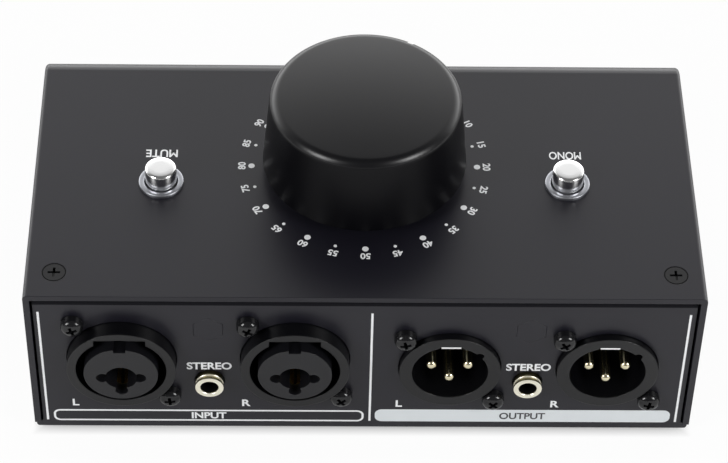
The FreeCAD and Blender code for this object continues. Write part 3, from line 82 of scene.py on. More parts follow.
def math_node(tree, operation, *inputs):
    """The result of a maths node whose inputs are plain numbers or the results of other nodes."""
    node = tree.nodes.new("ShaderNodeMath")
    node.operation = operation
    for socket, value in zip(node.inputs, inputs):
        if isinstance(value, float):
            socket.default_value = value
        else:
            tree.links.new(value, socket)
    return node.outputs["Value"]


GRAIN_DETAIL = 2.0
EDGE_SAMPLES = 6


def add_grain(material, scale, strength, distance, mottle=0.0, edge=0.0):
    """Adds a fine grain, a change of roughness where mottle is given, and softly lit edges where edge is."""
    tree = material.node_tree
    shader = tree.nodes["Principled BSDF"]
    place = tree.nodes.new("ShaderNodeTexCoord")
    noise = tree.nodes.new("ShaderNodeTexNoise")
    noise.inputs["Scale"].default_value = scale
    noise.inputs["Detail"].default_value = GRAIN_DETAIL
    bump = tree.nodes.new("ShaderNodeBump")
    bump.inputs["Strength"].default_value = strength
    bump.inputs["Distance"].default_value = distance
    tree.links.new(place.outputs["Object"], noise.inputs["Vector"])
    tree.links.new(noise.outputs["Fac"], bump.inputs["Height"])
    tree.links.new(bump.outputs["Normal"], shader.inputs["Normal"])
    if edge:
        soft_edge = tree.nodes.new("ShaderNodeBevel")
        soft_edge.samples = EDGE_SAMPLES
        soft_edge.inputs["Radius"].default_value = edge * MM
        tree.links.new(soft_edge.outputs["Normal"], bump.inputs["Normal"])
    if mottle:
        spread = tree.nodes.new("ShaderNodeMapRange")
        level = shader.inputs["Roughness"].default_value
        spread.inputs["To Min"].default_value = level - mottle
        spread.inputs["To Max"].default_value = level + mottle
        tree.links.new(noise.outputs["Fac"], spread.inputs["Value"])
        tree.links.new(spread.outputs["Result"], shader.inputs["Roughness"])
    return material


def grained(name, colour, roughness, grain, mottle=0.0, edge=0.0, **more):
    """A material with one of the grains below."""
    return add_grain(new_material(name, colour, roughness, **more), *grain, mottle=mottle, edge=edge)


# Grains: scale, strength, and depth in metres

PAINT_GRAIN = (2600, 0.10, 0.00005)
PRINT_GRAIN = (2600, 0.05, 0.00003)
KNOB_GRAIN = (1800, 0.06, 0.00005)
MOULDED_GRAIN = (1500, 0.08, 0.00005)
RUBBER_GRAIN = (1200, 0.2, 0.00008)
COARSE_GRAIN = (900, 0.1, 0.00004)
RIBBON_GRAIN = (900, 0.08, 0.00005)
SATIN_GRAIN = (900, 0.05, 0.00004)
PLAIN_GRAIN = (900, 0.05, 0.00003)
BRUSHED_GRAIN = (700, 0.05, 0.00003)
POLISHED_GRAIN = (700, 0.03, 0.00003)
CHROME_GRAIN = (700, 0.02, 0.00003)
BOARD_GRAIN = (500, 0.05, 0.00003)

paint = grained("case_paint", (0.008, 0.0075, 0.0125), 0.35, PAINT_GRAIN, mottle=0.04, edge=0.2)
knob_black = grained("knob_black", (0.0014, 0.0013, 0.0024), 0.31, KNOB_GRAIN)
# Painted shade: a darker, less glossy copy of the knob material for the lower rim and the side
knob_side_painted_shade = grained("knob_side_painted_shade", (0.0012, 0.0011, 0.002), 0.36, KNOB_GRAIN, specular=0.2)
# Painted shadow: a darker, duller copy of the case paint for the rear panel's top bend under the cover's lip
painted_lip_shadow = grained("painted_lip_shadow", (0.003, 0.003, 0.005), 0.6, PAINT_GRAIN, specular=0.12)
# Painted shade: a dull black laid where only shadow falls, in the jack bores and round the cover screws
painted_shadow_black = grained("painted_shadow_black", (0.002, 0.002, 0.002), 0.7, PLAIN_GRAIN, specular=0.1)
# Painted shade: a darker copy of the sleeve metal for the sleeves' sides and grooves
jack_side_painted_shade = grained("jack_side_painted_shade", (0.30, 0.27, 0.15), 0.4, BRUSHED_GRAIN, metallic=1.0)
pin_gold = grained("pin_gold", (0.96, 0.88, 0.62), 0.2, POLISHED_GRAIN, metallic=1.0)
moulding = grained("connector_black", (0.0025, 0.0025, 0.0035), 0.32, MOULDED_GRAIN, edge=0.35)
insert_black = grained("insert_black", (0.006, 0.006, 0.008), 0.38, MOULDED_GRAIN, edge=0.25)
screw_black = grained("screw_black", (0.008, 0.008, 0.009), 0.18, COARSE_GRAIN)
chrome = grained("button_chrome", (0.98, 0.98, 0.98), 0.2, CHROME_GRAIN, metallic=1.0)
bezel_metal = grained("bezel_metal", (0.40, 0.41, 0.44), 0.42, SATIN_GRAIN, metallic=1.0)
gold = grained("contact_gold", (0.95, 0.76, 0.36), 0.22, POLISHED_GRAIN, metallic=1.0)
jack_metal = grained("jack_metal", (1.0, 0.96, 0.80), 0.3, POLISHED_GRAIN, metallic=0.5)
steel = grained("bright_steel", (0.62, 0.62, 0.62), 0.3, BRUSHED_GRAIN, metallic=1.0)
rubber = grained("foot_rubber", (0.014, 0.014, 0.014), 0.75, RUBBER_GRAIN)
board_green = grained("board_green", (0.015, 0.11, 0.05), 0.35, BOARD_GRAIN, coat=0.3)
wafer_brown = grained("wafer_brown", (0.22, 0.12, 0.05), 0.6, COARSE_GRAIN)
nylon = grained("white_nylon", (0.75, 0.75, 0.72), 0.5, SATIN_GRAIN)
ribbon_grey = grained("ribbon_grey", (0.4, 0.4, 0.41), 0.55, RIBBON_GRAIN)
print_white = grained("print_white", (0.88, 0.89, 0.90), 0.55, PRINT_GRAIN)
print_pale = grained("print_pale", (0.76, 0.80, 0.82), 0.5, PRINT_GRAIN)
print_grey = grained("print_grey", (0.86, 0.87, 0.88), 0.55, PRINT_GRAIN)
print_dark = grained("print_dark", (0.05, 0.05, 0.055), 0.5, PRINT_GRAIN)
pointer_white = grained("pointer_white", (0.85, 0.85, 0.85), 0.45, PLAIN_GRAIN)
nickel = grained("bright_nickel", (0.95, 0.95, 0.94), 0.35, POLISHED_GRAIN, metallic=0.15)
resistor_blue = grained("resistor_blue", (0.12, 0.3, 0.45), 0.35, PLAIN_GRAIN)
floor_white = new_material("floor_white", (0.9, 0.9, 0.9), 0.9, specular=0.1)

NODE_MATERIALS = {
    paint: ("top_cover", "base_chassis", "panel_standoffs"),
    knob_black: ("volume_knob",),
    chrome: ("mute_button_cap", "mono_button_cap"),
    bezel_metal: ("mute_bezel", "mono_bezel"),
    screw_black: ("cover_screws", "base_screws", "input_screws", "output_screws"),
    moulding: ("input_left_shell", "input_right_shell", "output_left_shell", "output_right_shell",
               "input_mini_jack", "output_mini_jack", "mute_switch_body", "mono_switch_body",
               "ribbon_headers"),
    insert_black: ("input_left_insert", "input_right_insert"),
    gold: ("output_left_pins", "output_right_pins", "input_left_contacts", "input_right_contacts"),
    jack_metal: ("mini_jack_sleeves",),
    rubber: ("rubber_feet",),
    board_green: ("control_board", "io_board"),
    wafer_brown: ("pot_wafers",),
    nylon: ("mute_plunger", "mono_plunger", "pot_rotors"),
    ribbon_grey: ("ribbon_cable",),
    pointer_white: ("knob_pointer",),
    resistor_blue: ("board_resistors",),
    nickel: ("output_ground_springs",),
}
material_of = {node: material for material, names in NODE_MATERIALS.items() for node in names}
for node_name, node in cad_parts.items():
    node.data.materials.clear()
    node.data.materials.append(material_of.get(node_name, steel))


# Making pieces, in millimetres in the row frame

def shade_smooth(mesh, angle):
    """Smooth shading that stays sharp at edges steeper than the angle, in degrees."""
    working = bmesh.new()
    working.from_mesh(mesh)
    bmesh.ops.recalc_face_normals(working, faces=working.faces)
    for edge in working.edges:
        sharp = len(edge.link_faces) != 2 or edge.calc_face_angle(0.0) > math.radians(angle)
        edge.smooth = not sharp
    for face in working.faces:
        face.smooth = True
    working.to_mesh(mesh)
    working.free()


BEVEL_ANGLE = math.radians(35)


def piece(name, mesh, material, body="case", smooth=32.0, bevel=0.0):
    """Links a mesh as a piece that rides on a body, with cut edges where bevel is given."""
    thing = bpy.data.objects.new(name, mesh)
    bpy.context.scene.collection.objects.link(thing)
    if bevel:
        rounding = thing.modifiers.new("rounding", "BEVEL")
        rounding.width = bevel * MM
        rounding.segments = 1
        rounding.limit_method = "ANGLE"
        rounding.angle_limit = BEVEL_ANGLE
        apply_modifiers(thing)
    shade_smooth(thing.data, smooth)
    thing.data.materials.clear()
    thing.data.materials.append(material)
    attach(thing, body)
    return thing


def second_material(thing, material, chosen):
    """Gives a second material to the faces of a piece that the chosen test picks by centre and normal."""
    thing.data.materials.append(material)
    for face in thing.data.polygons:
        if chosen(face.center / MM, face.normal):
            face.material_index = 1


def apply_modifiers(thing):
    """Replaces an object's mesh by what its modifiers make of it."""
    bpy.context.view_layer.update()
    graph = bpy.context.evaluated_depsgraph_get()
    made = bpy.data.meshes.new_from_object(thing.evaluated_get(graph))
    thing.modifiers.clear()
    thing.data = made


def mesh_of(name, corners, faces):
    """A mesh from corners in millimetres."""
    mesh = bpy.data.meshes.new(name)
    mesh.from_pydata([tuple(c * MM for c in corner) for corner in corners], [], faces)
    mesh.update()
    return mesh


def turned(name, profile, centre, axis="Z", steps=96):
    """A turned form: profile points are (radius, height along the axis), closed back to the first."""
    corners = []
    rings = []
    for radius, height in profile:
        if radius < ON_AXIS:
            rings.append([len(corners)])
            corners.append((0.0, 0.0, height))
            continue
        rings.append(list(range(len(corners), len(corners) + steps)))
        for step in range(steps):
            turn = math.tau * step / steps
            corners.append((radius * math.cos(turn), radius * math.sin(turn), height))
    faces = []
    for first, second in zip(rings, rings[1:] + rings[:1]):
        if len(first) == 1 and len(second) == 1:
            continue
        for step in range(steps):
            after = (step + 1) % steps
            loop = [first[step % len(first)], first[after % len(first)],
                    second[after % len(second)], second[step % len(second)]]
            faces.append(tuple(dict.fromkeys(loop)))
    if axis == "Y":
        corners = [(x, z, -y) for x, y, z in corners]
    corners = [(x + centre[0], y + centre[1], z + centre[2]) for x, y, z in corners]
    return mesh_of(name, corners, faces)


def plate(name, outlines, low, high, plane="XY"):
    """A flat plate from closed outlines, the outer one first and then its holes, between two levels."""
    shape = bpy.data.curves.new(name, "CURVE")
    shape.dimensions = "2D"
    shape.fill_mode = "BOTH"
    for outline in outlines:
        spline = shape.splines.new("POLY")
        spline.points.add(len(outline) - 1)
        for point, (across, along) in zip(spline.points, outline):
            point.co = (across * MM, along * MM, 0.0, 1.0)
        spline.use_cyclic_u = True
    shape.extrude = (high - low) / 2 * MM
    holder = bpy.data.objects.new(name, shape)
    bpy.context.scene.collection.objects.link(holder)
    bpy.context.view_layer.update()
    graph = bpy.context.evaluated_depsgraph_get()
    mesh = bpy.data.meshes.new_from_object(holder.evaluated_get(graph))
    bpy.data.objects.remove(holder)
    middle = (low + high) / 2 * MM
    if plane == "XZ":
        mesh.transform(Matrix(((1, 0, 0, 0), (0, 0, -1, middle), (0, 1, 0, 0), (0, 0, 0, 1))))
    else:
        mesh.transform(Matrix.Translation((0, 0, middle)))
    working = bmesh.new()
    working.from_mesh(mesh)
    bmesh.ops.remove_doubles(working, verts=working.verts, dist=PLATE_WELD)
    working.to_mesh(mesh)
    working.free()
    return mesh


def circle(centre, radius, steps=64):
    """A round outline."""
    return [(centre[0] + radius * math.cos(math.tau * step / steps),
             centre[1] + radius * math.sin(math.tau * step / steps)) for step in range(steps)]


def rounded(left, right, bottom, top, radius, steps=8):
    """A rectangle outline with rounded corners."""
    outline = []
    corners = ((right - radius, top - radius, 0), (left + radius, top - radius, 90),
               (left + radius, bottom + radius, 180), (right - radius, bottom + radius, 270))
    for centre_x, centre_y, start in corners:
        for step in range(steps + 1):
            turn = math.radians(start + 90 * step / steps)
            outline.append((centre_x + radius * math.cos(turn), centre_y + radius * math.sin(turn)))
    return outline


def block(name, low, high):
    """A box mesh between two corners."""
    xs, ys, zs = zip(low, high)
    corners = [(x, y, z) for z in zs for y in ys for x in xs]
    faces = [(0, 2, 3, 1), (4, 5, 7, 6), (0, 1, 5, 4), (2, 6, 7, 3), (0, 4, 6, 2), (1, 3, 7, 5)]
    return mesh_of(name, corners, faces)


def carve(mesh, cutters, operation="DIFFERENCE"):
    """The mesh with every cutter mesh taken away, or joined to it."""
    target = bpy.data.objects.new("carve_target", mesh)
    bpy.context.scene.collection.objects.link(target)
    helpers = []
    for cutter in cutters:
        helper = bpy.data.objects.new("carve_tool", cutter)
        bpy.context.scene.collection.objects.link(helper)
        helpers.append(helper)
        step = target.modifiers.new("carve", "BOOLEAN")
        step.operation = operation
        step.solver = "EXACT"
        step.object = helper
    apply_modifiers(target)
    result = target.data
    bpy.data.objects.remove(target)
    for helper in helpers:
        bpy.data.objects.remove(helper)
    return result


def joined(name, meshes):
    """Several meshes as one."""
    working = bmesh.new()
    for mesh in meshes:
        working.from_mesh(mesh)
    whole = bpy.data.meshes.new(name)
    working.to_mesh(whole)
    working.free()
    return whole


# Camera at the photograph's place, from the solved view

FOCAL_PIXELS = 2798.0
PICTURE_WIDTH = 728
SENSOR_WIDTH = 36.0
CAMERA_YAW = math.radians(-1.574)
CAMERA_PITCH = math.radians(46.667)
CAMERA_ROLL = math.radians(1.460)
CAMERA_DISTANCE = 612.79
AIM_ACROSS = -0.25
AIM_BACK = 19.64


def camera_place():
    """The camera's matrix: solved with X towards the photograph's right and Y away from the panel."""
    yaw = Matrix.Rotation(CAMERA_YAW, 3, "Z")
    roll = Matrix.Rotation(CAMERA_ROLL, 3, "Z")
    ahead = Vector((0, math.cos(CAMERA_PITCH), -math.sin(CAMERA_PITCH)))
    right = Vector((1, 0, 0))
    base = Matrix((right, ahead.cross(right), ahead)) @ yaw.transposed()
    rows = roll @ base
    to_row = Matrix(((-1, 0, 0), (0, -1, 0), (0, 0, 1)))
    centre = Vector((AIM_ACROSS, AIM_BACK, 0)) - CAMERA_DISTANCE * Vector(rows[2])
    place = to_row @ centre + Vector((0, REAR_EDGE, COVER_TOP))
    axes = Matrix([to_row @ Vector(rows[0]), -(to_row @ Vector(rows[1])),
                   -(to_row @ Vector(rows[2]))]).transposed()
    return Matrix.Translation(place * MM) @ axes.to_4x4()


lens = bpy.data.cameras.new("photo_camera")
lens.sensor_width = SENSOR_WIDTH
lens.lens = FOCAL_PIXELS / PICTURE_WIDTH * SENSOR_WIDTH
lens.clip_start = 0.02
lens.clip_end = 20.0
camera = bpy.data.objects.new("photo_camera", lens)
bpy.context.scene.collection.objects.link(camera)
camera.matrix_world = camera_place()
bpy.context.scene.camera = camera
bpy.context.scene.view_settings.view_transform = "Standard"


# Knob: a tapered cap, rounded at the top rim, with a pale pointer

KNOB_BOTTOM = 48.5
KNOB_TOP = 67.8
KNOB_RIM = 2.2
KNOB_BASE_RADIUS = 22.7
KNOB_TOP_RADIUS = 21.0
KNOB_FOOT_EDGE = 0.25
KNOB_FOOT_INSET = 0.02
KNOB_DOME = 0.25
KNOB_DOME_RADIUS = 18.6
KNOB_DOME_SHARES = (0.95, 0.85, 0.7, 0.5, 0.3, 0.15, 0.0)
KNOB_SIDE_SLOPE = 0.42
KNOB_CROWN = -2.3
KNOB_STEPS = 160
KNOB_SMOOTH = 38
# The knob's underside from its axis to its skirt, with the hub for the shaft: radius and height
KNOB_UNDERSIDE = [(0.0, 64.6), (3.0, 64.6), (3.0, 50.6), (5.2, 50.6), (5.2, 65.6), (18.8, 65.6),
                  (20.5, KNOB_BOTTOM)]
POINTER_BEARING = math.radians(210)
POINTER_LOW = 54.0
POINTER_INNER = 19.8
POINTER_OUTER = 24.0
POINTER_HALF = 0.65


def knob_outline(steps=14):
    """The knob's outer side and rim, from the bottom edge to the flat top."""
    slope = math.atan2(KNOB_BASE_RADIUS - KNOB_TOP_RADIUS, KNOB_TOP - KNOB_BOTTOM)
    reach = KNOB_RIM * math.tan((math.pi / 2 - slope) / 2)
    centre_radius = KNOB_TOP_RADIUS - reach
    centre_height = KNOB_TOP - KNOB_DOME - KNOB_RIM
    points = [(KNOB_BASE_RADIUS - KNOB_FOOT_EDGE, KNOB_BOTTOM),
              (KNOB_BASE_RADIUS - KNOB_FOOT_INSET, KNOB_BOTTOM + KNOB_FOOT_EDGE)]
    for step in range(steps + 1):
        turn = slope + (math.pi / 2 - slope) * step / steps
        points.append((centre_radius + KNOB_RIM * math.cos(turn), centre_height + KNOB_RIM * math.sin(turn)))
    return points


def crown_by_shading(material):
    """Lets the flat top catch the light as a shallow crown does: height falls with distance from the axis."""
    tree = material.node_tree
    place = tree.nodes["Texture Coordinate"]
    reach = tree.nodes.new("ShaderNodeVectorMath")
    reach.operation = "MULTIPLY_ADD"
    reach.inputs[1].default_value = (1.0, 1.0, 0.0)
    reach.inputs[2].default_value = (0.0, -DIAL_Y * MM, 0.0)
    square = tree.nodes.new("ShaderNodeVectorMath")
    square.operation = "DOT_PRODUCT"
    crown = tree.nodes.new("ShaderNodeBump")
    crown.inputs["Distance"].default_value = 1.0
    tree.links.new(place.outputs["Object"], reach.inputs[0])
    tree.links.new(reach.outputs["Vector"], square.inputs[0])
    tree.links.new(reach.outputs["Vector"], square.inputs[1])
    fall = math_node(tree, "MULTIPLY", square.outputs["Value"], KNOB_CROWN)
    tree.links.new(fall, crown.inputs["Height"])
    tree.links.new(crown.outputs["Normal"], tree.nodes["Bump"].inputs["Normal"])


def pointer_bar(name):
    """The room of the pointer's groove: a bar that points away from the dial's axis."""
    bar = block(name, (POINTER_INNER, -POINTER_HALF, POINTER_LOW),
                (POINTER_OUTER, POINTER_HALF, KNOB_TOP + 1))
    heading = Matrix.Rotation(math.pi / 2 - POINTER_BEARING, 4, "Z")
    bar.transform(Matrix.Translation((0, DIAL_Y * MM, 0)) @ heading)
    return bar


crown_by_shading(knob_black)
knob_dome = [(KNOB_DOME_RADIUS * share, KNOB_TOP - KNOB_DOME * share ** 2) for share in KNOB_DOME_SHARES]
knob_profile = knob_outline() + knob_dome + KNOB_UNDERSIDE
dial_axis = (0, DIAL_Y, 0)
knob_solid = carve(turned("knob_shell", knob_profile, dial_axis, steps=KNOB_STEPS),
                   [pointer_bar("pointer_groove")])
pointer_solid = carve(turned("pointer_shell", knob_profile, dial_axis, steps=KNOB_STEPS),
                      [pointer_bar("pointer_room")], "INTERSECT")
knob = piece("knob_shell", knob_solid, knob_black, "volume_dial", smooth=KNOB_SMOOTH)
pointer = piece("pointer_inlay", pointer_solid, pointer_white, "volume_dial",
                smooth=KNOB_SMOOTH)
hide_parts("knob_pointer")
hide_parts("volume_knob")
# Rim and side faces sloping below this get the darker copy: painted shade
second_material(knob, knob_side_painted_shade, lambda centre, normal: normal.z < KNOB_SIDE_SLOPE)


# Push buttons and their bezels: each profile gives radius and height

CAP_PROFILE = [(0.0, 42.17), (3.3, 42.17), (3.5, 42.4), (3.5, 49.95), (3.42, 50.2), (3.25, 50.4),
               (3.0, 50.51), (2.7, 50.56), (1.6, 50.57), (0.0, 50.57)]
BEZEL_PROFILE = [(4.3, 43.3), (4.3, COVER_TOP), (5.0, COVER_TOP), (5.0, 46.2), (4.92, 46.38),
                 (4.75, 46.48), (4.5, 46.5), (4.0, 46.5), (3.8, 46.42), (3.67, 46.2), (3.65, 43.3)]
BUTTON_STEPS = 72
BUTTON_SMOOTH = 50

for label, across in (("mute", BUTTON_X), ("mono", -BUTTON_X)):
    centre = (across, BUTTON_Y, 0)
    cap_mesh = turned(f"{label}_cap_shell", CAP_PROFILE, centre, steps=BUTTON_STEPS)
    cap = piece(f"{label}_cap_shell", cap_mesh, chrome, f"{label}_button",
                smooth=BUTTON_SMOOTH)
    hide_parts(f"{label}_button_cap")
    bezel_mesh = turned(f"{label}_bezel_shell", BEZEL_PROFILE, centre, steps=BUTTON_STEPS)
    bezel = piece(f"{label}_bezel_shell", bezel_mesh, bezel_metal, "case",
                  smooth=BUTTON_SMOOTH)
    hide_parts(f"{label}_bezel")


# Base: floor, rear panel and top flange, with the panel's openings

CHASSIS_HALF = 71.75
FLOOR_HALF = 73.3
FLOOR_TOP = 3.5
BASE_FRONT = -37.9
BASE_BOTTOM = 2.0
BASE_CORNER = 1.3
HEM_BOTTOM = 1.3
HEM_LEAD = 0.3
HEM_BEND = 0.5
FLANGE_END = 22.05
FLANGE_TOP = 44.3
FLANGE_UNDER = 42.8
FLANGE_BEND_HEIGHT = 42.3
OUTER_BEND = 2.0
INNER_BEND = 0.5
TRIM_REACH = 60.0
LIP_SHADOW_SLOPE = 0.08
COMBO_SPOTS = ((53.2, 24.8), (15.2, 24.8))
OUTPUT_SPOTS = ((-18.9, 22.3), (-53.65, 22.3))
JACK_SPOTS = ((34.1, 17.5), (-36.3, 17.5))
STANDOFF_Z = 34.4
STANDOFF_SPOTS = [(x, STANDOFF_Z) for x, _ in JACK_SPOTS]
INPUT_SCREW_ACROSS = 10.25
INPUT_SCREW_UP = 11.65
OUTPUT_SCREW_OFFSET = 10.0
INPUT_SCREWS = [(x - side * INPUT_SCREW_ACROSS, z - side * INPUT_SCREW_UP)
                for x, z in COMBO_SPOTS for side in (-1, 1)]
OUTPUT_SCREWS = [(x - side * OUTPUT_SCREW_OFFSET, z - side * OUTPUT_SCREW_OFFSET)
                 for x, z in OUTPUT_SPOTS for side in (-1, 1)]
# Holes through the panel: their spots, their radius and the number of their sides
PANEL_HOLES = ((COMBO_SPOTS, 12.1, 96), (OUTPUT_SPOTS, 11.35, 96), (JACK_SPOTS, 3.35, 48),
               (INPUT_SCREWS + OUTPUT_SCREWS, 1.4, 24))
HOLE_START = 33
HOLE_END = 36


def bend(centre, radius, start, end, steps=8):
    """Points along a bend between two angles in degrees."""
    return [(centre[0] + radius * math.cos(math.radians(start + (end - start) * step / steps)),
             centre[1] + radius * math.sin(math.radians(start + (end - start) * step / steps)))
            for step in range(steps + 1)]


def folded(name, outline, half_width):
    """A sheet profile in Y and Z, drawn out to both sides of the middle."""
    count = len(outline)
    corners = [(side * half_width, y, z) for side in (-1, 1) for y, z in outline]
    faces = [(step, (step + 1) % count, count + (step + 1) % count, count + step) for step in range(count)]
    faces.append(tuple(range(count)))
    faces.append(tuple(reversed(range(count, 2 * count))))
    return mesh_of(name, corners, faces)


def rod(name, spot, radius, low, high, steps=48):
    """A plain round bar along Y."""
    profile = [(0, low), (radius, low), (radius, high), (0, high)]
    return turned(name, profile, (spot[0], 0, spot[1]), "Y", steps)


def hexagon_bar(name, spot, across, low, high):
    """A hexagonal bar along Y, standing on a corner."""
    radius = across / math.sqrt(3)
    turns = [math.radians(30 + 60 * step) for step in range(6)]
    outline = [(spot[0] + radius * math.cos(turn), spot[1] + radius * math.sin(turn)) for turn in turns]
    return plate(name, [outline], low, high, "XZ")


SEAT_ACROSS = 6.42
SEAT_LEVEL = 34.15
HEAD_ACROSS = 6.38
HEAD_FACE = 35.08
HEAD_BEVEL = 0.06
BARREL_HOLE = 2.2
BARREL_RADIUS = 2.1
BARREL_FOOT = 17.55
BARREL_END = 34.5
BARREL_STEPS = 32

base_outline = ([(BASE_FRONT, BASE_BOTTOM), (PANEL_BACK - HEM_LEAD, BASE_BOTTOM), (PANEL_BACK, HEM_BOTTOM)]
                + bend((PANEL_FACE - HEM_BEND, HEM_BOTTOM + HEM_BEND), HEM_BEND, -90, 0)
                + bend((PANEL_FACE - OUTER_BEND, FLANGE_BEND_HEIGHT), OUTER_BEND, 0, 90)
                + [(FLANGE_END, FLANGE_TOP), (FLANGE_END, FLANGE_UNDER)]
                + bend((PANEL_FACE - OUTER_BEND, FLANGE_BEND_HEIGHT), INNER_BEND, 90, 0)
                + [(PANEL_BACK, FLOOR_TOP), (BASE_FRONT, FLOOR_TOP)])
panel_cutters = [rod("panel_hole", spot, radius, HOLE_START, HOLE_END, steps)
                 for spots, radius, steps in PANEL_HOLES for spot in spots]
panel_cutters += [hexagon_bar("standoff_seat", spot, SEAT_ACROSS, SEAT_LEVEL, HOLE_END)
                  for spot in STANDOFF_SPOTS]
panel_cutters += [rod("standoff_hole", spot, BARREL_HOLE, HOLE_START, HOLE_END, BARREL_STEPS)
                  for spot in STANDOFF_SPOTS]
corner = (FLOOR_HALF - BASE_CORNER, HEM_BOTTOM + BASE_CORNER)
left_corner = [(-x, z) for x, z in bend(corner, BASE_CORNER, 0, -90)]
base_front_view = (left_corner + bend(corner, BASE_CORNER, -90, 0)
                   + [(FLOOR_HALF, FLOOR_TOP), (CHASSIS_HALF, FLOOR_TOP), (CHASSIS_HALF, TRIM_REACH),
                      (-CHASSIS_HALF, TRIM_REACH), (-CHASSIS_HALF, FLOOR_TOP), (-FLOOR_HALF, FLOOR_TOP)])
trim = plate("base_trim", [base_front_view], -TRIM_REACH, TRIM_REACH, "XZ")
base_mesh = carve(carve(folded("base_sheet", base_outline, FLOOR_HALF), [trim], "INTERSECT"), panel_cutters)
base_piece = piece("base_sheet", base_mesh, paint, "case", smooth=25)
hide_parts("base_chassis")
# Upward-facing faces of the top bend, under the cover's lip, get the painted shadow
second_material(base_piece, painted_lip_shadow,
                lambda centre, normal: (centre.z > FLANGE_BEND_HEIGHT and centre.y > PANEL_BACK
                                        and normal.z > LIP_SHADOW_SLOPE))

standoff_parts = []
for spot in STANDOFF_SPOTS:
    head = hexagon_bar("standoff_head", spot, HEAD_ACROSS, SEAT_LEVEL, HEAD_FACE)
    barrel = rod("standoff_barrel", spot, BARREL_RADIUS, BARREL_FOOT, BARREL_END, BARREL_STEPS)
    standoff_parts.append(carve(head, [barrel], "UNION"))
standoffs = piece("clinch_standoffs", joined("clinch_standoffs", standoff_parts), paint, "case",
                  bevel=HEAD_BEVEL)
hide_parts("panel_standoffs")


# Mini jacks: grooved sleeves, with painted shade as a darker copy of the metal on their sides and a black
# lining in their bores, as radius and place along Y

SLEEVE_PROFILE = [(2.0, 33.55), (2.0, 37.15), (2.12, 37.29), (3.0, 37.29), (3.12, 37.22), (3.15, 37.1),
                  (3.15, 36.72), (3.05, 36.62), (2.72, 36.58), (2.7, 36.15), (3.0, 36.1), (3.08, 36.0),
                  (3.08, 35.7), (3.0, 35.6), (2.8, 35.5), (2.8, 33.55)]
BORE_SHADOW_PROFILE = [(1.8, 33.6), (1.8, 36.85), (1.99, 36.85), (1.99, 33.6)]
JACK_STEPS = 64
JACK_SIDE_SLOPE = 0.35

sleeve_parts = [turned("jack_sleeve", SLEEVE_PROFILE, (x, 0, z), "Y", JACK_STEPS) for x, z in JACK_SPOTS]
sleeves = piece("jack_sleeve_pair", joined("jack_sleeve_pair", sleeve_parts), jack_metal, "case",
                smooth=30)
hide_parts("mini_jack_sleeves")
# Sleeve faces not facing out of the panel get the darker copy: painted shade
second_material(sleeves, jack_side_painted_shade, lambda centre, normal: normal.y < JACK_SIDE_SLOPE)
# A black lining inside each bore: painted shade of the hole
bore_shadow_parts = [turned("jack_bore_shadow", BORE_SHADOW_PROFILE, (x, 0, z), "Y", JACK_STEPS) for x, z in JACK_SPOTS]
piece("jack_bore_shadows", joined("jack_bore_shadows", bore_shadow_parts), painted_shadow_black, smooth=30)


# Round-headed screws that hold the connectors

SCREW_HEAD = 2.5
SCREW_RISE = 2.75
SCREW_SIDE = 1.25
SCREW_EDGE = 0.12
SCREW_SHANK = 1.3
SCREW_END = 29.05
SCREW_STEPS = 48
DOME_STEPS = 8
DOME_FULLNESS = 0.8
RECESS_ARM = 1.6
RECESS_HALF = 0.42
RECESS_LOW = 1.1
RECESS_PINCHED = 1.5
RECESS_PINCH_LONG = 0.45
RECESS_PINCH_WIDE = 0.6


def domed_screw(name, spot, turn):
    """A round-headed screw with a cross recess that narrows towards its bottom, seen from the rear."""
    dome = [(SCREW_HEAD - SCREW_EDGE, PANEL_FACE), (SCREW_HEAD, PANEL_FACE + SCREW_EDGE),
            (SCREW_HEAD, PANEL_FACE + SCREW_SIDE)]
    for step in range(1, DOME_STEPS):
        lean = step / DOME_STEPS * math.pi / 2
        dome.append((SCREW_HEAD * math.cos(lean) ** DOME_FULLNESS,
                     PANEL_FACE + SCREW_SIDE + (SCREW_RISE - SCREW_SIDE) * math.sin(lean)))
    dome.append((0.0, PANEL_FACE + SCREW_RISE))
    profile = [(0.0, SCREW_END), (SCREW_SHANK, SCREW_END), (SCREW_SHANK, PANEL_FACE)] + dome
    solid = turned(name, profile, (0, 0, 0), "Y", SCREW_STEPS)
    arms = []
    for quarter in (0, 90):
        arm = block("recess_arm", (-RECESS_ARM, PANEL_FACE + RECESS_LOW, -RECESS_HALF),
                    (RECESS_ARM, PANEL_FACE + SCREW_RISE + 1, RECESS_HALF))
        for vertex in arm.vertices:
            if vertex.co.y < (PANEL_FACE + RECESS_PINCHED) * MM:
                vertex.co.x *= RECESS_PINCH_LONG
                vertex.co.z *= RECESS_PINCH_WIDE
        arm.transform(Matrix.Rotation(math.radians(turn + quarter), 4, "Y"))
        arms.append(arm)
    solid = carve(solid, arms)
    solid.transform(Matrix.Translation((spot[0] * MM, 0, spot[1] * MM)))
    return solid


for set_name, spots, turns in (("input_screws", INPUT_SCREWS, (20, 5, 62, 38)),
                               ("output_screws", OUTPUT_SCREWS, (12, 48, 33, 80))):
    heads = [domed_screw("connector_screw", spot, turn) for spot, turn in zip(spots, turns)]
    screw_piece = piece(f"{set_name}_domed", joined(set_name, heads), screw_black, "case",
                        smooth=40)
    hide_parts(set_name)


# Contact pins with round tips, tips on the ground springs, and rings of painted shadow round the cover screws

PIN_RADIUS = 1.2
PIN_LONGER = 0.9
PIN_TIP_SHARE = 0.8
PIN_STEPS = 40


def round_pin(name, across, up, low, high):
    """A contact pin along Y whose tip is a slightly flattened half ball."""
    turns = [math.radians(angle) for angle in range(0, 90, 10)]
    tip = [(PIN_RADIUS * math.cos(turn), high - PIN_RADIUS * PIN_TIP_SHARE * (1 - math.sin(turn)))
           for turn in turns]
    profile = [(0.0, low), (PIN_RADIUS, low)] + tip + [(0.0, high)]
    return turned(name, profile, (across, 0, up), "Y", PIN_STEPS)


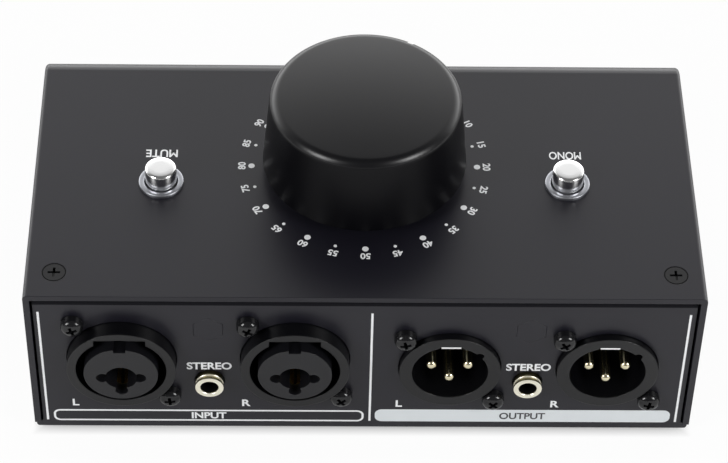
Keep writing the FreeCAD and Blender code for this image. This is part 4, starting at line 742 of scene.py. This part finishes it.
def islands(node):
    """The boxes, in millimetres, of the separate solids of a node."""
    working = bmesh.new()
    working.from_mesh(node.data)
    bmesh.ops.remove_doubles(working, verts=working.verts, dist=SOLID_WELD)
    waiting = set(working.verts)
    boxes = []
    while waiting:
        group = {waiting.pop()}
        edge_of_group = set(group)
        while edge_of_group:
            vertex = edge_of_group.pop()
            for edge in vertex.link_edges:
                other = edge.other_vert(vertex)
                if other in waiting:
                    waiting.discard(other)
                    group.add(other)
                    edge_of_group.add(other)
        places = [node.matrix_world @ vertex.co / MM for vertex in group]
        boxes.append([(min(place[axis] for place in places), max(place[axis] for place in places))
                      for axis in range(3)])
    working.free()
    return sorted(boxes)


for node_name in ("output_left_pins", "output_right_pins"):
    pins = []
    for (left, right), (low, high), (bottom, top) in islands(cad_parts[node_name]):
        pins.append(round_pin("pin", (left + right) / 2, (bottom + top) / 2, low, high + PIN_LONGER))
    pin_piece = piece(f"{node_name}_round", joined(node_name, pins), pin_gold, "case",
                      smooth=40)
    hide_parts(node_name)

OUTPUT_RING_FACE = 36.65
SPRING_TIP_DEPTH = 0.6
SPRING_TIP_PROUD = 0.02
SPRING_TIP_RISE = 0.1
tips = []
for (left, right), (low, high), (bottom, top) in islands(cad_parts["output_ground_springs"]):
    tips.append(block("spring_tip", (left, OUTPUT_RING_FACE - SPRING_TIP_DEPTH, bottom),
                      (right, OUTPUT_RING_FACE + SPRING_TIP_PROUD, top + SPRING_TIP_RISE)))
piece("ground_spring_tips", joined("ground_spring_tips", tips), nickel, smooth=20)

COVER_SCREW_X = 67.2
COVER_SCREW_Y = 28.65
# A thin black ring on the cover round each screw: painted shadow of the countersink gap
GAP_OUTER = 2.62
GAP_INNER = 2.38
GAP_RISE = 0.02
for side, side_name in ((1, "left"), (-1, "right")):
    spot = (side * COVER_SCREW_X, COVER_SCREW_Y)
    ring = plate(f"screw_gap_painted_shadow_{side_name}", [circle(spot, GAP_OUTER), circle(spot, GAP_INNER)],
                 COVER_TOP, COVER_TOP + GAP_RISE)
    piece(f"screw_gap_painted_shadow_{side_name}", ring, painted_shadow_black, smooth=10)


# Return springs: coils of round wire wound between the ends of the imported springs

SPRING_WIRE = 0.25
SPRING_TURNS = 4.5
SPRING_STEPS = 24
WIRE_SIDES = 8


def coil(name, centre, radius, low, high):
    """A round wire wound from low to high."""
    count = int(SPRING_TURNS * SPRING_STEPS)
    corners = []
    for index in range(count + 1):
        turn = math.tau * index / SPRING_STEPS
        height = low + SPRING_WIRE + (high - low - 2 * SPRING_WIRE) * index / count
        for side in range(WIRE_SIDES):
            around = math.tau * side / WIRE_SIDES
            reach = radius + SPRING_WIRE * math.cos(around)
            corners.append((centre[0] + reach * math.cos(turn), centre[1] + reach * math.sin(turn),
                            height + SPRING_WIRE * math.sin(around)))
    faces = [(index * WIRE_SIDES + side, index * WIRE_SIDES + (side + 1) % WIRE_SIDES,
              (index + 1) * WIRE_SIDES + (side + 1) % WIRE_SIDES, (index + 1) * WIRE_SIDES + side)
             for index in range(count) for side in range(WIRE_SIDES)]
    faces.append(tuple(reversed(range(WIRE_SIDES))))
    faces.append(tuple(range(count * WIRE_SIDES, (count + 1) * WIRE_SIDES)))
    return mesh_of(name, corners, faces)


for label in ("mute", "mono"):
    (left, right), (front, rear), (bottom, top) = islands(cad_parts[f"{label}_return_spring"])[0]
    wound = coil(f"{label}_coil", ((left + right) / 2, (front + rear) / 2),
                 (right - left) / 2 - SPRING_WIRE, bottom, top)
    spring = piece(f"{label}_coil", wound, steel, "case", smooth=60)
    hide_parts(f"{label}_return_spring")
    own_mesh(spring)


# Printed marks

TYPE_SIZE = 10
PRINT_SMOOTH = 10


def lettering(name, text, height, centre, plane, material, spin=0.0, width=None, bold=0.0):
    """Raised print: text of a given capital height, centred, on the top or on the panel."""
    shape = bpy.data.curves.new(name, "FONT")
    shape.body = text
    shape.align_x = "CENTER"
    shape.align_y = "CENTER"
    shape.size = TYPE_SIZE * MM
    shape.offset = bold * MM
    holder = bpy.data.objects.new(name, shape)
    bpy.context.scene.collection.objects.link(holder)
    bpy.context.view_layer.update()
    graph = bpy.context.evaluated_depsgraph_get()
    mesh = bpy.data.meshes.new_from_object(holder.evaluated_get(graph))
    bpy.data.objects.remove(holder)
    xs = [v.co.x for v in mesh.vertices]
    ys = [v.co.y for v in mesh.vertices]
    grow_y = height * MM / (max(ys) - min(ys))
    grow_x = width * MM / (max(xs) - min(xs)) if width else grow_y
    shift = Matrix.Translation((-(max(xs) + min(xs)) / 2, -(max(ys) + min(ys)) / 2, 0))
    scale = Matrix.Diagonal((grow_x, grow_y, 1, 1))
    turn = Matrix.Rotation(spin, 4, "Z")
    if plane == "top":
        stand = Matrix.Translation((centre[0] * MM, centre[1] * MM, (COVER_TOP + PRINT_RISE) * MM))
    else:
        upright = Matrix(((-1, 0, 0, 0), (0, 0, 1, 0), (0, 1, 0, 0), (0, 0, 0, 1)))
        stand = Matrix.Translation((centre[0] * MM, (PANEL_FACE + PRINT_RISE + centre[2]) * MM,
                                    centre[1] * MM)) @ upright
    mesh.transform(stand @ turn @ scale @ shift)
    piece(name, mesh, material, smooth=PRINT_SMOOTH)


DIAL_MIDDLE = 50
DIAL_DEGREES = 3
DOT_RING = 25.25
DOT_LARGE = 0.72
DOT_SMALL = 0.38
DOT_STEPS = 32
NUMERAL_RING = 27.4
NUMERAL_HEIGHT = 1.75
NUMERAL_BOLD = 0.32
for value in range(0, 101, 5):
    bearing = math.radians((value - DIAL_MIDDLE) * DIAL_DEGREES)
    ahead_x = math.sin(bearing)
    ahead_y = math.cos(bearing)
    dot_radius = DOT_LARGE if value % 10 == 0 else DOT_SMALL
    spot = (ahead_x * DOT_RING, DIAL_Y + ahead_y * DOT_RING)
    dot = plate(f"dial_dot_{value}", [circle(spot, dot_radius, DOT_STEPS)], COVER_TOP, COVER_TOP + PRINT_RISE)
    piece(f"dial_dot_{value}", dot, print_grey, smooth=PRINT_SMOOTH)
    where = (ahead_x * NUMERAL_RING, DIAL_Y + ahead_y * NUMERAL_RING)
    lettering(f"dial_number_{value}", str(value), NUMERAL_HEIGHT, where, "top", print_grey, spin=-bearing,
              bold=NUMERAL_BOLD)

WORD_Y = REAR_EDGE - 43.4
WORD_HEIGHT = 2.4
for word, across, width in (("MUTE", BUTTON_X + 0.2, 7.1), ("MONO", -BUTTON_X, 7.2)):
    lettering(f"word_{word.lower()}", word, WORD_HEIGHT, (across, WORD_Y), "top", print_white, width=width,
              bold=0.2)


def on_panel(name, outlines, material):
    """A printed shape on the rear panel."""
    mesh = plate(name, outlines, PANEL_FACE, PANEL_FACE + PRINT_RISE, "XZ")
    piece(name, mesh, material, smooth=PRINT_SMOOTH)


def from_top(drop):
    """The height of a place on the panel, from its distance below the cover's top."""
    return COVER_TOP - drop


# Marks on the panel: places across, heights counted down from the cover's top, and widths
LINE_SPOTS = (70.68, -1.53, -70.48)
LINE_HALF = 0.25
LINE_HIGH = from_top(5.7)
LINE_LOW = from_top(42.0)
PANEL_BOLD = 0.3
PILL_WORD_HEIGHT = 2.2
LETTER_HEIGHT = 2.3
LETTER_Z = from_top(35.9)
STEREO_Z = from_top(23.3)
STEREO_WIDTH = 9.9
for index, across in enumerate(LINE_SPOTS):
    on_panel(f"panel_line_{index}", [[(across - LINE_HALF, LINE_LOW), (across + LINE_HALF, LINE_LOW),
                                      (across + LINE_HALF, LINE_HIGH), (across - LINE_HALF, LINE_HIGH)]],
             print_white)
on_panel("input_pill", [rounded(-0.2, 69.3, from_top(42.25), from_top(38.4), 1.5),
                        rounded(0.28, 68.82, from_top(41.77), from_top(38.88), 1.05)], print_white)
on_panel("output_pill", [rounded(-69.15, -2.7, from_top(42.15), from_top(38.0), 1.6)], print_pale)
lettering("word_input", "INPUT", PILL_WORD_HEIGHT, (34.5, from_top(40.35), 0), "panel", print_white,
          width=7.8, bold=PANEL_BOLD)
lettering("word_output", "OUTPUT", PILL_WORD_HEIGHT, (-35.85, from_top(40.1), PRINT_RISE), "panel",
          print_dark, width=10.3, bold=0.22)
for name, letter, across in (("input_l", "L", 64.1), ("input_r", "R", 26.1), ("output_l", "L", -8.0),
                             ("output_r", "R", -42.9)):
    lettering(f"letter_{name}", letter, LETTER_HEIGHT, (across, LETTER_Z, 0), "panel", print_white,
              bold=PANEL_BOLD)
for name, (across, _) in zip(("input", "output"), JACK_SPOTS):
    lettering(f"word_stereo_{name}", "STEREO", WORD_HEIGHT, (across, STEREO_Z, 0), "panel", print_white,
              width=STEREO_WIDTH, bold=NUMERAL_BOLD)


# Floor: seen by the camera as bright as the backdrop, apart from the shade under the object

FOOTPRINT_MIDDLE = -2.0
FOOTPRINT_HALF = 37.75
SHADE_INNER = -2.5
SHADE_OUTER = 0.8
FLOOR_GLOW = 0.95


bpy.ops.mesh.primitive_plane_add(size=6.0, location=(0, 0, 0))
floor = bpy.context.object
floor.name = "floor"
floor_tree = floor_white.node_tree
seen = floor_tree.nodes.new("ShaderNodeLightPath")
glow = floor_tree.nodes.new("ShaderNodeEmission")
glow.inputs["Strength"].default_value = 1.0
joined_light = floor_tree.nodes.new("ShaderNodeMixShader")
spot_on_floor = floor_tree.nodes.new("ShaderNodeTexCoord")
floor_axes = floor_tree.nodes.new("ShaderNodeSeparateXYZ")
floor_tree.links.new(spot_on_floor.outputs["Object"], floor_axes.inputs["Vector"])
outside = []
for axis_name, middle, half in (("X", 0.0, HALF_WIDTH), ("Y", FOOTPRINT_MIDDLE, FOOTPRINT_HALF)):
    from_middle = math_node(floor_tree, "SUBTRACT", floor_axes.outputs[axis_name], middle * MM)
    distance = math_node(floor_tree, "ABSOLUTE", from_middle)
    outside.append(math_node(floor_tree, "SUBTRACT", distance, half * MM))
farther = math_node(floor_tree, "MAXIMUM", *outside)
shade_edge = floor_tree.nodes.new("ShaderNodeMapRange")
shade_edge.inputs["From Min"].default_value = SHADE_INNER * MM
shade_edge.inputs["From Max"].default_value = SHADE_OUTER * MM
shade_edge.inputs["To Min"].default_value = 0.0
shade_edge.inputs["To Max"].default_value = FLOOR_GLOW
floor_tree.links.new(farther, shade_edge.inputs["Value"])
share = math_node(floor_tree, "MULTIPLY", seen.outputs["Is Camera Ray"], shade_edge.outputs["Result"])
floor_tree.links.new(share, joined_light.inputs["Fac"])
floor_tree.links.new(floor_tree.nodes["Principled BSDF"].outputs["BSDF"], joined_light.inputs[1])
floor_tree.links.new(glow.outputs["Emission"], joined_light.inputs[2])
floor_tree.links.new(joined_light.outputs["Shader"], floor_tree.nodes["Material Output"].inputs["Surface"])
floor.data.materials.append(floor_white)


# World: bright and low beyond the object, dim on the camera's side

SKY_CURVE = 1.4
SKY_BRIGHT = 4.15
SKY_LEAST = 0.08
SKY_NEAR = 0.13
SKY_BEYOND_Y = -0.6
SKY_NEAR_Y = -0.05

world = bpy.context.scene.world or bpy.data.worlds.new("world")
bpy.context.scene.world = world
world.use_nodes = True
world_tree = world.node_tree
sky = world_tree.nodes["Background"]
sky.inputs["Color"].default_value = (1.0, 1.0, 1.0, 1.0)
bearing = world_tree.nodes.new("ShaderNodeTexCoord")
parts = world_tree.nodes.new("ShaderNodeSeparateXYZ")
world_tree.links.new(bearing.outputs["Generated"], parts.inputs["Vector"])
below_top = math_node(world_tree, "SUBTRACT", 1.0, parts.outputs["Z"])
below_top.node.use_clamp = True
curve = math_node(world_tree, "POWER", below_top, SKY_CURVE)
beyond_light = math_node(world_tree, "MULTIPLY_ADD", curve, SKY_BRIGHT, SKY_LEAST)
towards_camera = world_tree.nodes.new("ShaderNodeMapRange")
towards_camera.interpolation_type = "SMOOTHSTEP"
towards_camera.inputs["From Min"].default_value = SKY_BEYOND_Y
towards_camera.inputs["From Max"].default_value = SKY_NEAR_Y
world_tree.links.new(parts.outputs["Y"], towards_camera.inputs["Value"])
blend = world_tree.nodes.new("ShaderNodeMix")
blend.data_type = "FLOAT"
blend.inputs["B"].default_value = SKY_NEAR
world_tree.links.new(towards_camera.outputs["Result"], blend.inputs["Factor"])
world_tree.links.new(beyond_light, blend.inputs["A"])
world_tree.links.new(blend.outputs["Result"], sky.inputs["Strength"])


# Two soft lamps on the camera's side, in metres

LAMP_ACROSS = 0.80
LAMP_BACK = 0.62
LAMP_UP = 0.60
LAMP_AIM = Vector((0, 0, 0.03))
LAMP_RADIANCE = 11.5
LAMP_WIDTH = 0.36
LAMP_HEIGHT = 0.48

for lamp_name, across in (("near_left", LAMP_ACROSS), ("near_right", -LAMP_ACROSS)):
    light = bpy.data.lights.new(lamp_name, "AREA")
    light.shape = "RECTANGLE"
    light.size = LAMP_WIDTH
    light.size_y = LAMP_HEIGHT
    light.energy = LAMP_RADIANCE * math.pi * LAMP_WIDTH * LAMP_HEIGHT
    lamp = bpy.data.objects.new(lamp_name, light)
    bpy.context.scene.collection.objects.link(lamp)
    lamp.location = (across, LAMP_BACK, LAMP_UP)
    lamp.rotation_mode = "QUATERNION"
    lamp.rotation_quaternion = (LAMP_AIM - lamp.location).to_track_quat("-Z", "Y")
